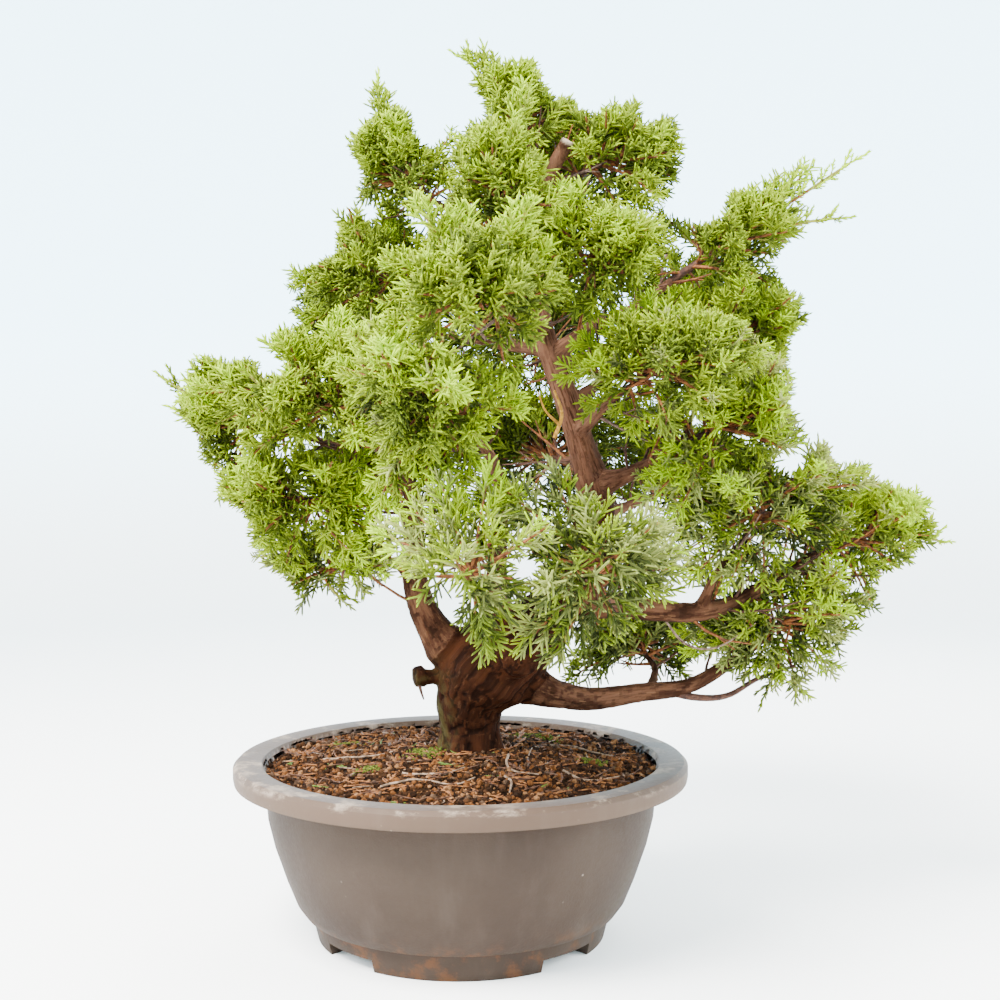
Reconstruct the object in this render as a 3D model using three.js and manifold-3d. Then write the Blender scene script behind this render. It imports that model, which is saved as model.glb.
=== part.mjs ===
// Chinese juniper bonsai in a round training pot.
// Millimetres, +Z up. While it is worked out, the pot's axis is X = Y = 0 and the pot stands on Z = 0.
// The front is -Y. The group is then moved so that the origin is the bottom centre of the whole.
import * as THREE from "three";
import { mergeVertices } from "three/addons/utils/BufferGeometryUtils.js";
import Module from "manifold-3d";

const wasm = await Module();
wasm.setup();

// Driving dimensions of the pot
const POT_RADIUS = 115;
const POT_HEIGHT = 88.7;
const POT_WALL = 3;
const POT_SIDES = 28;
const RIM_WIDTH = 14;
const RIM_DEPTH = 9;
const FOOT_RADIUS = 76;
const FOOT_HEIGHT = 13;
const FOOT_NOTCH = { width: 32, height: 6 };
const FLOOR_BOTTOM = 11;
const FLOOR_TOP = 15;
const RIM_BASE = POT_HEIGHT - RIM_DEPTH;
// The outside of the pot's wall from the foot up to the rim: radius, height
const BASIN = [
  [FOOT_RADIUS + 4, FOOT_HEIGHT + 1],
  [84, 19.5],
  [88.7, 31],
  [94.6, 48],
  [97.8, 61],
  [99.5, RIM_BASE],
];
const WALL_FROM = 2; // the inside follows the outside from this row of BASIN up

// Driving dimensions of the soil
const GROUND = 93.5;
const GROUND_FLAT_RADIUS = 24;
const SOIL_EDGE = 84.6;
// Lumps in the ground: height, width of one, and where they begin and are full, as distances from the axis
const LUMPS = { height: 1.2, width: 21, from: 27, full: 42 };
const SOIL_RINGS = 7;

// Small gap between neighbours
const CLEAR = 0.3;

// The trunk's axis with its radius, from the ground to the tip: x, y, z, radius
const TRUNK = [
  [4, 0, 84, 16],
  [4, 0, 104, 15.5],
  [5, -2, 118, 18.5],
  [12, -4, 132, 26],
  [26, -4, 145, 23],
  [39, -2, 156, 16],
  [50, 1, 168, 12.5],
  [64, 5, 189, 11.8],
  [69, 8, 219, 10],
  [61, 6, 250, 7.2],
  [52, 4, 276, 6.4],
  [44, 3, 299, 5.8],
  [39, 2, 324, 5],
  [39, 0, 352, 4.2],
  [39, 0, 377, 3.2],
  [33, 2, 403, 2.2],
];
const TRUNK_SIDES = 10;
const TRUNK_RINGS = 24;
const STUB_SIDES = 9;

// Roots that flare from the foot of the trunk: heading in degrees from +X, reach and radius
const ROOT_FLARES = [
  { heading: -20, reach: 16, radius: 6 },
  { heading: 70, reach: 17, radius: 6 },
  { heading: 165, reach: 12, radius: 6 },
  { heading: 250, reach: 17, radius: 6 },
];
const ROOT_SIDES = 6;
const ROOT_TOP = 112;
const ROOT_BEND = 96;
const ROOT_END = 82;

// Old cuts that stay on the trunk: start, end, radius at each
const CUT_STUBS = [
  { start: [18, -6, 138], end: [31, -31, 144], radii: [13, 10] },
  { start: [4, -4, 129], end: [-24.5, -12, 131], radii: [4.4, 5.6] },
  { start: [39, 0, 374], end: [54, -7, 401], radii: [4.2, 3.6] },
];

// Boughs: the limb each leaves, where along it, the points it passes, and its radius at root and tip
const BOUGHS = {
  left_stem: { on: "trunk", at: 0.2, radii: [9.5, 2.2],
    via: [[-8, -8, 147], [-20, -12, 168], [-24, -13, 191], [-23, -14, 215], [-30, -22, 237],
      [-38, -36, 255]] },
  left_hem: { on: "left_stem", at: 0.42, radii: [2.6, 1.8], via: [[-34, -6, 188], [-43, 0, 186]] },
  left_low: { on: "left_stem", at: 0.64, radii: [2.4, 1.7], via: [[-34, -16, 217], [-47, -18, 219]] },
  far_left: { on: "left_stem", at: 0.77, radii: [2.8, 1.7], via: [[-57, 0, 244], [-86, 0, 254]] },
  back_low_left: { on: "left_stem", at: 0.55, radii: [3, 1.8], via: [[-29, 25, 206], [-39, 60, 220]] },
  middle_stem: { on: "trunk", at: 0.25, radii: [7, 2],
    via: [[19, -14, 163], [18, -19, 182], [19, -25, 200], [20, -38, 224], [15, -64, 241], [5, -90, 253]] },
  low_front_left: { on: "middle_stem", at: 0.5, radii: [2.8, 1.8], via: [[13, -62, 196], [9, -98, 195]] },
  right_low_bough: { on: "trunk", at: 0.2, radii: [9, 3.2],
    via: [[32, -5, 127], [46, -5, 121.5], [66, 0, 117.5], [92, 5, 120], [118, 8, 123], [142, 8, 137]] },
  under_right: { on: "right_low_bough", at: 0.7, radii: [2.2, 1.6], via: [[102, 24, 129], [100, 38, 133]] },
  right_bough: { on: "trunk", at: 0.4, radii: [7.5, 2.4],
    via: [[81, -5, 166], [100, -10, 164], [121, -8, 163], [142, -5, 169], [166, 0, 183], [180, 1, 191]] },
  right_low: { on: "right_bough", at: 0.5, radii: [2.8, 1.8], via: [[127, -15, 181], [137, -18, 195]] },
  low_front_right: { on: "right_bough", at: 0.2, radii: [2.8, 1.8], via: [[73, -45, 172], [66, -80, 179]] },
  right_lower_front: { on: "trunk", at: 0.55, radii: [5.2, 2.2],
    via: [[81, -5, 231], [94, -20, 238], [107, -30, 246]] },
  back_low_right: { on: "trunk", at: 0.515, radii: [4.2, 2], via: [[85, 42, 214], [106, 76, 220]] },
  back_centre: { on: "trunk", at: 0.58, radii: [3.4, 1.9], via: [[58, 25, 240], [52, 48, 241]] },
  right_front: { on: "trunk", at: 0.61, radii: [3.4, 1.9], via: [[69, -25, 263], [77, -50, 271]] },
  right_middle: { on: "trunk", at: 0.645, radii: [3.2, 1.8], via: [[82, 15, 287], [109, 14, 301]] },
  back_mid: { on: "trunk", at: 0.67, radii: [3.4, 1.9], via: [[46, 50, 293], [43, 104, 306]] },
  back_right: { on: "trunk", at: 0.695, radii: [3.4, 1.9], via: [[74, 40, 300], [102, 70, 313]] },
  right_upper: { on: "trunk", at: 0.71, radii: [4.4, 2.2],
    via: [[55, -2, 299], [68, -5, 308], [88, -5, 317], [107, -3, 331]] },
  back_left: { on: "trunk", at: 0.725, radii: [3.2, 1.8], via: [[20, 35, 302], [-15, 64, 311]] },
  front_crown: { on: "trunk", at: 0.76, radii: [3.2, 1.8], via: [[32, -45, 305], [22, -90, 304]] },
  upper_left: { on: "trunk", at: 0.785, radii: [3.2, 1.9], via: [[15, 5, 326], [-11, 8, 331]] },
  crown_right_front: { on: "trunk", at: 0.815, radii: [2.6, 1.7], via: [[45, -20, 331], [54, -37, 332]] },
  upper_front: { on: "trunk", at: 0.845, radii: [2.5, 1.6], via: [[33, -28, 342], [26, -58, 342]] },
  back_top: { on: "trunk", at: 0.875, radii: [2.4, 1.6], via: [[41, 30, 371], [43, 54, 384]] },
  top_left: { on: "trunk", at: 0.895, radii: [2.4, 1.6], via: [[10, -5, 362], [-11, -10, 368]] },
  top_right: { on: "trunk", at: 0.92, radii: [2.4, 1.7], via: [[45, 8, 381], [56, 13, 387]] },
};
const BOUGH_SIDES = 6;
const BOUGH_RING_STEP = 20;

// Masses of foliage: the limb each grows on from, its centre and half-sizes, and long tips beyond them
const MASSES = [
  { name: "apex", on: "trunk", centre: [28, 5, 416], size: [29, 30, 28], tips: [[-5, 5, 453]] },
  { name: "top_left", on: "top_left", centre: [-29, -15, 381], size: [31, 32, 33],
    tips: [[-43, -10, 434], [-65, -10, 402]] },
  { name: "top_right", on: "top_right", centre: [81, 15, 396], size: [35, 34, 34] },
  { name: "back_top", on: "back_top", centre: [45, 78, 402], size: [43, 34, 41] },
  { name: "upper_front", on: "upper_front", centre: [19, -78, 358], size: [24, 26, 36] },
  { name: "upper_left", on: "upper_left", centre: [-42, 8, 334], size: [43, 39, 35] },
  { name: "crown_right_front", on: "crown_right_front", centre: [66, -60, 334], size: [35, 32, 25] },
  { name: "front_crown", on: "front_crown", centre: [11, -125, 304], size: [36, 39, 32] },
  { name: "right_upper", on: "right_upper", centre: [137, 0, 351], size: [48, 37, 26],
    tips: [[207, 0, 397], [201, 0, 365]] },
  { name: "right_middle", on: "right_middle", centre: [142, 15, 305], size: [40, 37, 28],
    tips: [[216, 10, 310]] },
  { name: "right_front", on: "right_front", centre: [98, -72, 282], size: [43, 37, 26] },
  { name: "right_lower_front", on: "right_lower_front", centre: [128, -38, 256], size: [40, 34, 25] },
  { name: "back_left", on: "back_left", centre: [-54, 90, 319], size: [50, 41, 43] },
  { name: "back_mid", on: "back_mid", centre: [38, 135, 319], size: [52, 39, 44] },
  { name: "back_right", on: "back_right", centre: [133, 95, 326], size: [50, 41, 42] },
  { name: "left_middle", on: "left_stem", centre: [-66, -52, 270], size: [46, 41, 32] },
  { name: "far_left", on: "far_left", centre: [-113, -2, 258], size: [30, 37, 34],
    tips: [[-157, 0, 285], [-151, 0, 267]] },
  { name: "left_low", on: "left_low", centre: [-82, -22, 219], size: [41, 39, 30] },
  { name: "left_hem", on: "left_hem", centre: [-70, 4, 184], size: [31, 30, 19], tips: [[-57, 5, 160]] },
  { name: "centre_left", on: "middle_stem", centre: [-12, -112, 264], size: [31, 37, 28] },
  { name: "low_front_left", on: "low_front_left", centre: [8, -132, 190], size: [26, 38, 30] },
  { name: "low_front_right", on: "low_front_right", centre: [61, -112, 191], size: [40, 39, 33] },
  { name: "right_low", on: "right_low", centre: [152, -20, 218], size: [47, 37, 32],
    tips: [[195, -10, 250]] },
  { name: "far_right", on: "right_bough", centre: [206, 2, 200], size: [35, 37, 32], tips: [[256, 5, 198]] },
  { name: "right_hem", on: "right_low_bough", centre: [168, 5, 160], size: [47, 37, 31],
    tips: [[153, 0, 111]] },
  { name: "under_right", on: "under_right", centre: [97, 54, 141], size: [34, 25, 20] },
  { name: "back_low_left", on: "back_low_left", centre: [-53, 92, 235], size: [49, 41, 37] },
  { name: "back_low_right", on: "back_low_right", centre: [132, 105, 227], size: [48, 41, 38] },
  { name: "back_centre", on: "back_centre", centre: [46, 86, 245], size: [54, 41, 41] },
];

// The rule by which a mass grows. Shares along a line run from 0 at its root to 1 at its tip.
const TURN = 2.399963; // golden angle, radians
const STEM = { bend: 0.4, overshoot: 0.35, share: 0.95, endRadius: 1.6, sides: 4, rings: 3 };
const TAILS = {
  count: 6,
  tries: 40,
  reach: 0.97, // of the mass's half-size
  from: { middle: 0.5, swing: 0.45, lowest: 0.15, highest: 0.95 }, // share of the stem where one leaves
  bow: { share: 0.45, out: 0.12 },
  thick: 2.4,
  twig: 0.27, // share before the spray that ends it
};
const LONG_TIP = { from: 0.8, widen: 0.5 };
const LEAN = { forward: 0.2, up: 0.1 };
const SIDE = {
  perTail: [1, 1, 0, 1, 0, 0], // tail by tail in turn
  perLongTip: 1,
  tries: 24,
  from: { lowest: 0.25, spread: 0.65, step: 0.618034 }, // share of the twig where one leaves
  lean: { forward: 0.75, up: 0.2 },
};
const SPRAY = {
  lengths: [50, 42, 35, 28, 22], // the longest that fits is taken
  edge: [[0.66, 0.46], [0.6, 0.17]], // along and out, as shares of the length
  middle: 0.45,
  thick: 2.6,
  sunk: 0.75, // root below its twig's middle line
};
const EDGE_TESTS = [[0, 0], [0.5, 0], [0, 0.4]]; // towards the next corner, and inwards
const SPACE_MARGIN = 0.05;
const LIMB_MARGIN = 1.2;
const BEAD_STEP = 2;

const vec = (list) => new THREE.Vector3(list[0], list[1], list[2]);
const fraction = (value) => value - Math.floor(value);

// Solids from geometry, and back
function solid(geometry) {
  const bare = geometry.clone();
  bare.deleteAttribute("normal");
  bare.deleteAttribute("uv");
  const merged = mergeVertices(bare, 1e-4);
  return new wasm.Manifold(
    new wasm.Mesh({
      numProp: 3,
      vertProperties: merged.attributes.position.array,
      triVerts: new Uint32Array(merged.index.array),
    }),
  );
}

function geometryOf(manifold) {
  const mesh = manifold.getMesh();
  const geometry = new THREE.BufferGeometry();
  geometry.setAttribute("position", new THREE.BufferAttribute(new Float32Array(mesh.vertProperties), 3));
  geometry.setIndex(new THREE.BufferAttribute(new Uint32Array(mesh.triVerts), 1));
  const flat = geometry.toNonIndexed();
  flat.computeVertexNormals();
  return flat;
}

const joined = (solids) => solids.reduce((all, next) => all.add(next));

// The largest piece of a solid, so that no loose scrap is kept
function largest(manifold) {
  return manifold.decompose().reduce((best, next) => (next.volume() > best.volume() ? next : best));
}

function solidFrom(points, faces) {
  const geometry = new THREE.BufferGeometry().setFromPoints(points);
  geometry.setIndex(faces);
  return solid(geometry);
}

// A ring of points round a centre, square to the line that it is given, wider one way than the other
function ringOf(centre, along, face, sides, width, thick) {
  const side = new THREE.Vector3().crossVectors(along, face).normalize();
  const up = new THREE.Vector3().crossVectors(along, side).normalize();
  return Array.from({ length: sides }, (_, k) => {
    const angle = (2 * Math.PI * k) / sides;
    return centre
      .clone()
      .addScaledVector(side, (width / 2) * Math.cos(angle))
      .addScaledVector(up, (thick / 2) * Math.sin(angle));
  });
}

// A closed tapered tube: rings that follow a curve, with a flat end on each side
function tube(curve, radiusAt, sides, ringCount) {
  let face = new THREE.Vector3(0, 1, 0);
  if (Math.abs(curve.getTangent(0).y) > 0.8) face.set(1, 0, 0);
  const rings = [];
  for (let i = 0; i <= ringCount; i++) {
    const t = i / ringCount;
    const along = curve.getTangent(t);
    face = face.clone().addScaledVector(along, -face.dot(along)).normalize();
    rings.push(ringOf(curve.getPoint(t), along, face, sides, 2 * radiusAt(t), 2 * radiusAt(t)));
  }
  const faces = [];
  for (let i = 0; i < ringCount; i++) {
    for (let k = 0; k < sides; k++) {
      const next = (k + 1) % sides;
      const [here, there] = [i * sides, (i + 1) * sides];
      faces.push(here + k, here + next, there + k, here + next, there + next, there + k);
    }
  }
  const last = ringCount * sides;
  for (let k = 1; k < sides - 1; k++) faces.push(0, k + 1, k, last, last + k, last + k + 1);
  return solidFrom(rings.flat(), faces);
}

// A spray of shoots: a thin toothed blade that starts from a ring of four points or from one point.
// It is thickest in its middle and thins out to its edge.
function sprayFrom(base, root, tip, face, widen = 1) {
  const along = tip.clone().sub(root);
  const side = new THREE.Vector3().crossVectors(along, face).normalize();
  const up = new THREE.Vector3().crossVectors(along, side).normalize();
  const length = along.length();
  const at = (far, out, high) =>
    root.clone().addScaledVector(along, far).addScaledVector(side, out * length).addScaledVector(up, high);
  const left = SPRAY.edge.map(([far, out]) => at(far, out * widen, 0));
  const right = SPRAY.edge.map(([far, out]) => at(far, -out * widen, 0)).reverse();
  const edge = [...left, tip, ...right];
  const faceMiddles = [0.5, -0.5].map((high) => at(SPRAY.middle, 0, high * SPRAY.thick));
  const points = [...base, ...edge, ...faceMiddles];
  const [top, bottom] = [points.length - 2, points.length - 1];
  const round = [0, ...edge.map((_, k) => base.length + k), base.length === 4 ? 2 : 0];
  const faces = [];
  for (let k = 0; k + 1 < round.length; k++) {
    faces.push(round[k + 1], round[k], top, round[k], round[k + 1], bottom);
  }
  if (base.length === 4) faces.push(0, 1, top, 1, 2, top, 2, 3, bottom, 3, 0, bottom);
  return { points, faces, outline: [root, ...edge] };
}

// A side spray, whose root is a point inside its twig
function sideSpray(root, tip, face) {
  const { points, faces, outline } = sprayFrom([root], root, tip, face);
  return { made: solidFrom(points, faces), outline };
}

// A tail: a four-sided twig that runs out into a spray
function tail(curve, turn, widen) {
  const root = curve.getPoint(0);
  const fork = curve.getPoint(TAILS.twig);
  const twig = fork.clone().sub(root);
  const face = new THREE.Vector3(0, 0, 1).applyAxisAngle(twig.clone().normalize(), turn);
  const [start, end] = [root, fork].map((centre) => ringOf(centre, twig, face, 4, TAILS.thick, TAILS.thick));
  const { points, faces, outline } = sprayFrom(end, fork, curve.getPoint(1), face, widen);
  const all = [...start, ...points];
  const twigFaces = [0, 2, 1, 0, 3, 2];
  for (let k = 0; k < 4; k++) {
    const next = (k + 1) % 4;
    twigFaces.push(k, next, 4 + k, next, 4 + next, 4 + k);
  }
  return { made: solidFrom(all, [...twigFaces, ...faces.map((corner) => corner + 4)]), outline };
}

// The inside of the wall at some distance from its outside, from its bend above the floor up to the rim
const insideOfWall = (gap) => BASIN.slice(WALL_FROM).map(([radius, height]) => [radius - gap, height]);

const spun = (rows) => {
  const points = rows.map(([radius, height]) => new THREE.Vector2(radius, height));
  return solid(new THREE.LatheGeometry(points, POT_SIDES).rotateX(Math.PI / 2));
};

// The pot: a spun wall and floor, a rim folded over outwards, and a foot ring with four notches
function pot() {
  const lip = POT_RADIUS - POT_WALL;
  const whole = spun([
    [0, FLOOR_BOTTOM],
    [FOOT_RADIUS - 13, FLOOR_BOTTOM],
    [FOOT_RADIUS - 12, 0],
    [FOOT_RADIUS - 3, 0],
    [FOOT_RADIUS, FOOT_HEIGHT],
    ...BASIN,
    [BASIN.at(-1)[0], POT_HEIGHT - POT_WALL],
    [lip, POT_HEIGHT - POT_WALL],
    [lip, RIM_BASE],
    [POT_RADIUS, RIM_BASE],
    [POT_RADIUS, POT_HEIGHT - 2],
    [POT_RADIUS - 1.5, POT_HEIGHT],
    [POT_RADIUS - RIM_WIDTH, POT_HEIGHT - 0.5],
    ...insideOfWall(POT_WALL).reverse(),
    [FOOT_RADIUS + 4, FLOOR_TOP + 4],
    [FOOT_RADIUS, FLOOR_TOP],
    [0, FLOOR_TOP],
  ]);
  const notches = [Math.PI / 4, -Math.PI / 4].map((turn) => {
    const bar = new THREE.BoxGeometry(2 * POT_RADIUS, FOOT_NOTCH.width, 2 * FOOT_NOTCH.height);
    return solid(bar.rotateZ(turn));
  });
  return notches.reduce((rest, bar) => rest.subtract(bar), whole);
}

// How far the ground stands out in lumps, or dips between them, at a place
function lumpAt(x, y) {
  const share = THREE.MathUtils.smoothstep(Math.hypot(x, y), LUMPS.from, LUMPS.full);
  const [across, back] = [x, y].map((value) => Math.cos((Math.PI * value) / LUMPS.width));
  return share * LUMPS.height * across * back;
}

// The soil that fills the pot, flat where the trunk stands on it, then lumpy and lower towards the rim
function soil() {
  const edge = BASIN.at(-1)[0] - POT_WALL - 2 * CLEAR;
  const top = Array.from({ length: SOIL_RINGS }, (_, k) => {
    const radius = edge * (1 - k / SOIL_RINGS);
    const share = Math.max(0, (radius - GROUND_FLAT_RADIUS) / (edge - GROUND_FLAT_RADIUS));
    return [radius, THREE.MathUtils.lerp(GROUND, SOIL_EDGE, share)];
  });
  const smooth = spun([
    [0, FLOOR_TOP + CLEAR],
    [FOOT_RADIUS - 1, FLOOR_TOP + CLEAR],
    [FOOT_RADIUS + 4 - CLEAR, FLOOR_TOP + 4 + CLEAR],
    ...insideOfWall(POT_WALL + CLEAR).slice(0, -1),
    [edge, RIM_BASE],
    ...top,
    [0, GROUND],
  ]);
  return smooth.warp((corner) => {
    if (corner[2] > SOIL_EDGE - CLEAR) corner[2] += lumpAt(corner[0], corner[1]);
  });
}

// Limbs: each is a curve with a radius at every point of it
function limbFrom(points, radiusAt) {
  return { curve: new THREE.CatmullRomCurve3(points, false, "catmullrom", 0.5), radiusAt };
}

function radiusFrom(values) {
  return (t) => {
    const place = t * (values.length - 1);
    const index = Math.min(Math.floor(place), values.length - 2);
    return THREE.MathUtils.lerp(values[index], values[index + 1], place - index);
  };
}

const limbs = { trunk: limbFrom(TRUNK.map(vec), radiusFrom(TRUNK.map((row) => row[3]))) };
for (const [name, bough] of Object.entries(BOUGHS)) {
  const start = limbs[bough.on].curve.getPoint(bough.at);
  limbs[name] = limbFrom([start, ...bough.via.map(vec)], radiusFrom(bough.radii));
}

const grown = (radiusAt, extra) => (t) => radiusAt(t) + extra;

// The trunk with its root flare and old cuts, cut flat at the ground
function trunk(extra = 0) {
  const { curve, radiusAt } = limbs.trunk;
  const pieces = [tube(curve, grown(radiusAt, extra), TRUNK_SIDES, TRUNK_RINGS)];
  const [footX, footY] = TRUNK[0];
  const footRadius = TRUNK[0][3];
  for (const { heading, reach, radius } of ROOT_FLARES) {
    const angle = THREE.MathUtils.degToRad(heading);
    const out = new THREE.Vector3(Math.cos(angle), Math.sin(angle), 0);
    const at = (height, far) => new THREE.Vector3(footX, footY, height).addScaledVector(out, far);
    const path = new THREE.QuadraticBezierCurve3(
      at(ROOT_TOP, footRadius * 0.5),
      at(ROOT_BEND, footRadius * 0.8),
      at(ROOT_END, reach),
    );
    pieces.push(tube(path, (t) => radius * (0.8 + 0.2 * t) + extra, ROOT_SIDES, 3));
  }
  for (const { start, end, radii } of CUT_STUBS) {
    const path = new THREE.LineCurve3(vec(start), vec(end));
    pieces.push(tube(path, grown(radiusFrom(radii), extra), STUB_SIDES, 1));
  }
  const below = new THREE.BoxGeometry(4 * POT_RADIUS, 4 * POT_RADIUS, POT_HEIGHT);
  below.translate(0, 0, GROUND + CLEAR - POT_HEIGHT / 2);
  return joined(pieces).subtract(solid(below));
}

function boughTube(name, extra = 0) {
  const { curve, radiusAt } = limbs[name];
  const rings = Math.max(3, Math.round(curve.getLength() / BOUGH_RING_STEP));
  return tube(curve, grown(radiusAt, extra), BOUGH_SIDES, rings);
}

// Spaces: 0 at the centre of a mass, 1 at its edge
function reachIn(mass, point) {
  const [x, y, z] = mass.centre;
  return Math.hypot((point.x - x) / mass.size[0], (point.y - y) / mass.size[1], (point.z - z) / mass.size[2]);
}

function inOwnSpace(mass, point) {
  const own = Math.min(reachIn(mass, point), 1);
  return MASSES.every((other) => other === mass || reachIn(other, point) > own + SPACE_MARGIN);
}

// Beads along every limb, for telling how near a point lies to one
const beads = [];
function addBeads(curve, radiusAt) {
  const count = Math.ceil(curve.getLength() / BEAD_STEP);
  for (let i = 0; i <= count; i++) {
    beads.push({ centre: curve.getPoint(i / count), radius: radiusAt(i / count) });
  }
}
for (const { curve, radiusAt } of Object.values(limbs)) addBeads(curve, radiusAt);
for (const { start, end, radii } of CUT_STUBS) {
  addBeads(new THREE.LineCurve3(vec(start), vec(end)), radiusFrom(radii));
}

function beadsNear(mass) {
  const near = Math.max(...mass.size) * 2.2;
  return beads.filter((bead) => bead.centre.distanceTo(vec(mass.centre)) < near + bead.radius);
}

function pointFits(mass, point, gap) {
  if (!inOwnSpace(mass, point)) return false;
  return mass.beads.every((bead) => point.distanceTo(bead.centre) > bead.radius + gap);
}

// A direction that spreads evenly as its number rises, leaning outwards and up
function spreadDirection(seed, number, forward) {
  const height = 2 * fraction(seed * 0.618034 + (number + 0.5) * 0.754878) - 1;
  const angle = 2 * Math.PI * fraction(seed * 0.414214 + (number + 0.5) * 0.56984);
  const flat = Math.sqrt(1 - height * height);
  return new THREE.Vector3(flat * Math.cos(angle), flat * Math.sin(angle), height)
    .addScaledVector(forward, LEAN.forward)
    .add(new THREE.Vector3(0, 0, LEAN.up))
    .normalize();
}

function pathFits(mass, curve, gap) {
  const count = Math.ceil(curve.getLength() / BEAD_STEP);
  for (let i = 2; i <= count; i++) {
    if (!pointFits(mass, curve.getPoint(i / count), gap)) return false;
  }
  return true;
}

// A spray fits where its whole edge keeps to the mass's space and clear of the limbs
function outlineFits(mass, outline, outside) {
  const middle = outline[0].clone().lerp(outline[Math.ceil(outline.length / 2)], 0.5);
  for (let k = 1; k < outline.length; k++) {
    for (const [share, inward] of EDGE_TESTS) {
      const next = outline[(k + 1) % outline.length];
      const point = outline[k].clone().lerp(next, share).lerp(middle, inward);
      if (!pointFits(mass, point, LIMB_MARGIN)) return false;
      if (!outside && reachIn(mass, point) > 1) return false;
    }
  }
  return true;
}

const touches = (one, others) => others.some((other) => !other.intersect(one).isEmpty());

// Side sprays round a tail by the golden angle, each leaning forward and clear of all that is there
function sideSprays(mass, own, solids) {
  const up = new THREE.Vector3(0, 0, 1);
  const start = own.curve.getPoint(0);
  const twig = own.curve.getPoint(TAILS.twig).sub(start);
  const along = twig.clone().normalize();
  const side = up.clone().cross(along).normalize();
  const others = solids.filter((other) => other !== own.made);
  const longest = own.outside ? own.curve.getLength() / 3 : Infinity;
  const made = [];
  for (let number = 0; number < SIDE.tries && made.length < own.sides; number++) {
    const share = SIDE.from.lowest + SIDE.from.spread * fraction(number * SIDE.from.step);
    const from = start.clone().addScaledVector(twig, share);
    const away = side.clone().applyAxisAngle(along, number * TURN);
    const { forward, up: rise } = SIDE.lean;
    const heading = away.addScaledVector(along, forward).addScaledVector(up, rise).normalize();
    const root = from.clone().addScaledVector(heading, -SPRAY.sunk);
    const face = new THREE.Vector3().crossVectors(heading, along);
    const fitting = SPRAY.lengths
      .filter((length) => length < longest)
      .map((length) => sideSpray(root, from.clone().addScaledVector(heading, length), face))
      .find((one) => outlineFits(mass, one.outline, own.outside) && !touches(one.made, [...others, ...made]));
    if (fitting) made.push(fitting.made);
  }
  return made;
}

// The stem of a mass grows on from its limb's tip, bends to the mass's centre and runs a little past it
function stemOf(mass) {
  const limb = limbs[mass.on];
  const heading = limb.curve.getTangent(1);
  const start = limb.curve.getPoint(1).addScaledVector(heading, CLEAR);
  const centre = vec(mass.centre);
  const bend = start.clone().addScaledVector(heading, start.distanceTo(centre) * STEM.bend);
  const end = centre.clone().lerp(start, -STEM.overshoot);
  const curve = new THREE.CubicBezierCurve3(start, bend, centre, end);
  const forward = centre.clone().sub(start).normalize();
  const radii = [limb.radiusAt(1) * STEM.share, STEM.endRadius];
  return { curve, made: tube(curve, radiusFrom(radii), STEM.sides, STEM.rings), forward };
}

// A mass: one stem that grows on from its limb, tails that leave it, and sprays round the tails
function foliage(mass, seed) {
  const stem = stemOf(mass);
  const solids = [stem.made];
  const tails = [];
  const addTail = (from, target, outside, sides) => {
    const root = stem.curve.getPoint(from);
    const bow = stem.curve.getTangent(from).multiplyScalar(TAILS.bow.out * root.distanceTo(target));
    const middle = root.clone().lerp(target, TAILS.bow.share).add(bow);
    const curve = new THREE.QuadraticBezierCurve3(root, middle, target);
    const { made, outline } = tail(curve, tails.length * TURN, outside ? LONG_TIP.widen : 1);
    if (!pathFits(mass, curve, LIMB_MARGIN) || !outlineFits(mass, outline, true)) return;
    if (touches(made, tails.map((other) => other.made))) return;
    tails.push({ curve, made, outside, sides });
    solids.push(made);
  };
  const tips = mass.tips ?? [];
  for (const tip of tips) addTail(LONG_TIP.from, vec(tip), true, SIDE.perLongTip);
  const wanted = TAILS.count + Math.max(tips.length - 1, 0);
  for (let number = 0; number < TAILS.tries && tails.length < wanted; number++) {
    const out = spreadDirection(seed, number, stem.forward);
    const target = out.clone().multiply(vec(mass.size)).multiplyScalar(TAILS.reach).add(vec(mass.centre));
    const { middle, swing, lowest, highest } = TAILS.from;
    const from = THREE.MathUtils.clamp(middle + swing * out.dot(stem.forward), lowest, highest);
    addTail(from, target, false, SIDE.perTail[number % SIDE.perTail.length]);
  }
  for (const own of tails) solids.push(...sideSprays(mass, own, solids));
  return largest(joined(solids));
}

// Materials
const finish = (color, roughness) => new THREE.MeshStandardMaterial({ color, roughness, metalness: 0 });
const potPlastic = finish(0x4f4b49, 0.7);
const soilGrains = finish(0x6b4028, 0.95);
const bark = finish(0x6d4431, 0.9);
const shoots = finish(0x6f9a35, 0.75);

const group = new THREE.Group();
const add = (name, made, material) => {
  const mesh = new THREE.Mesh(geometryOf(made), material);
  mesh.name = name;
  group.add(mesh);
};

add("pot", pot(), potPlastic);
add("soil", soil(), soilGrains);
add("trunk", trunk(), bark);

// Each bough is cut 0.3 mm clear of the trunk and of the boughs before it
const before = [trunk(CLEAR)];
for (const name of Object.keys(BOUGHS)) {
  const cut = before.reduce((rest, other) => rest.subtract(other), boughTube(name));
  add("bough_" + name, largest(cut), bark);
  before.push(boughTube(name, CLEAR));
}

for (const mass of MASSES) mass.beads = beadsNear(mass);
MASSES.forEach((mass, index) => add("foliage_" + mass.name, foliage(mass, index + 1), shoots));

const bounds = new THREE.Box3().setFromObject(group);
group.position.set(-(bounds.min.x + bounds.max.x) / 2, -(bounds.min.y + bounds.max.y) / 2, 0);

export default group;
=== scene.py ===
# %% [markdown]
# # A juniper bonsai in a round training pot
#
# The tree is a Chinese juniper of a fine-shooted kind: one thick leaning trunk with old cuts, boughs that
# curve out of it, and a crown of thread-like green shoots. It stands in a low plastic pot filled with clay
# granules.
#
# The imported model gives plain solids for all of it, and this script dresses them. It works in millimetres
# from the pot's axis, as the solids were drawn, and turns them into metres only when a mesh is made.

# %% Load the solids and find the pot's axis
import math

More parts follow.
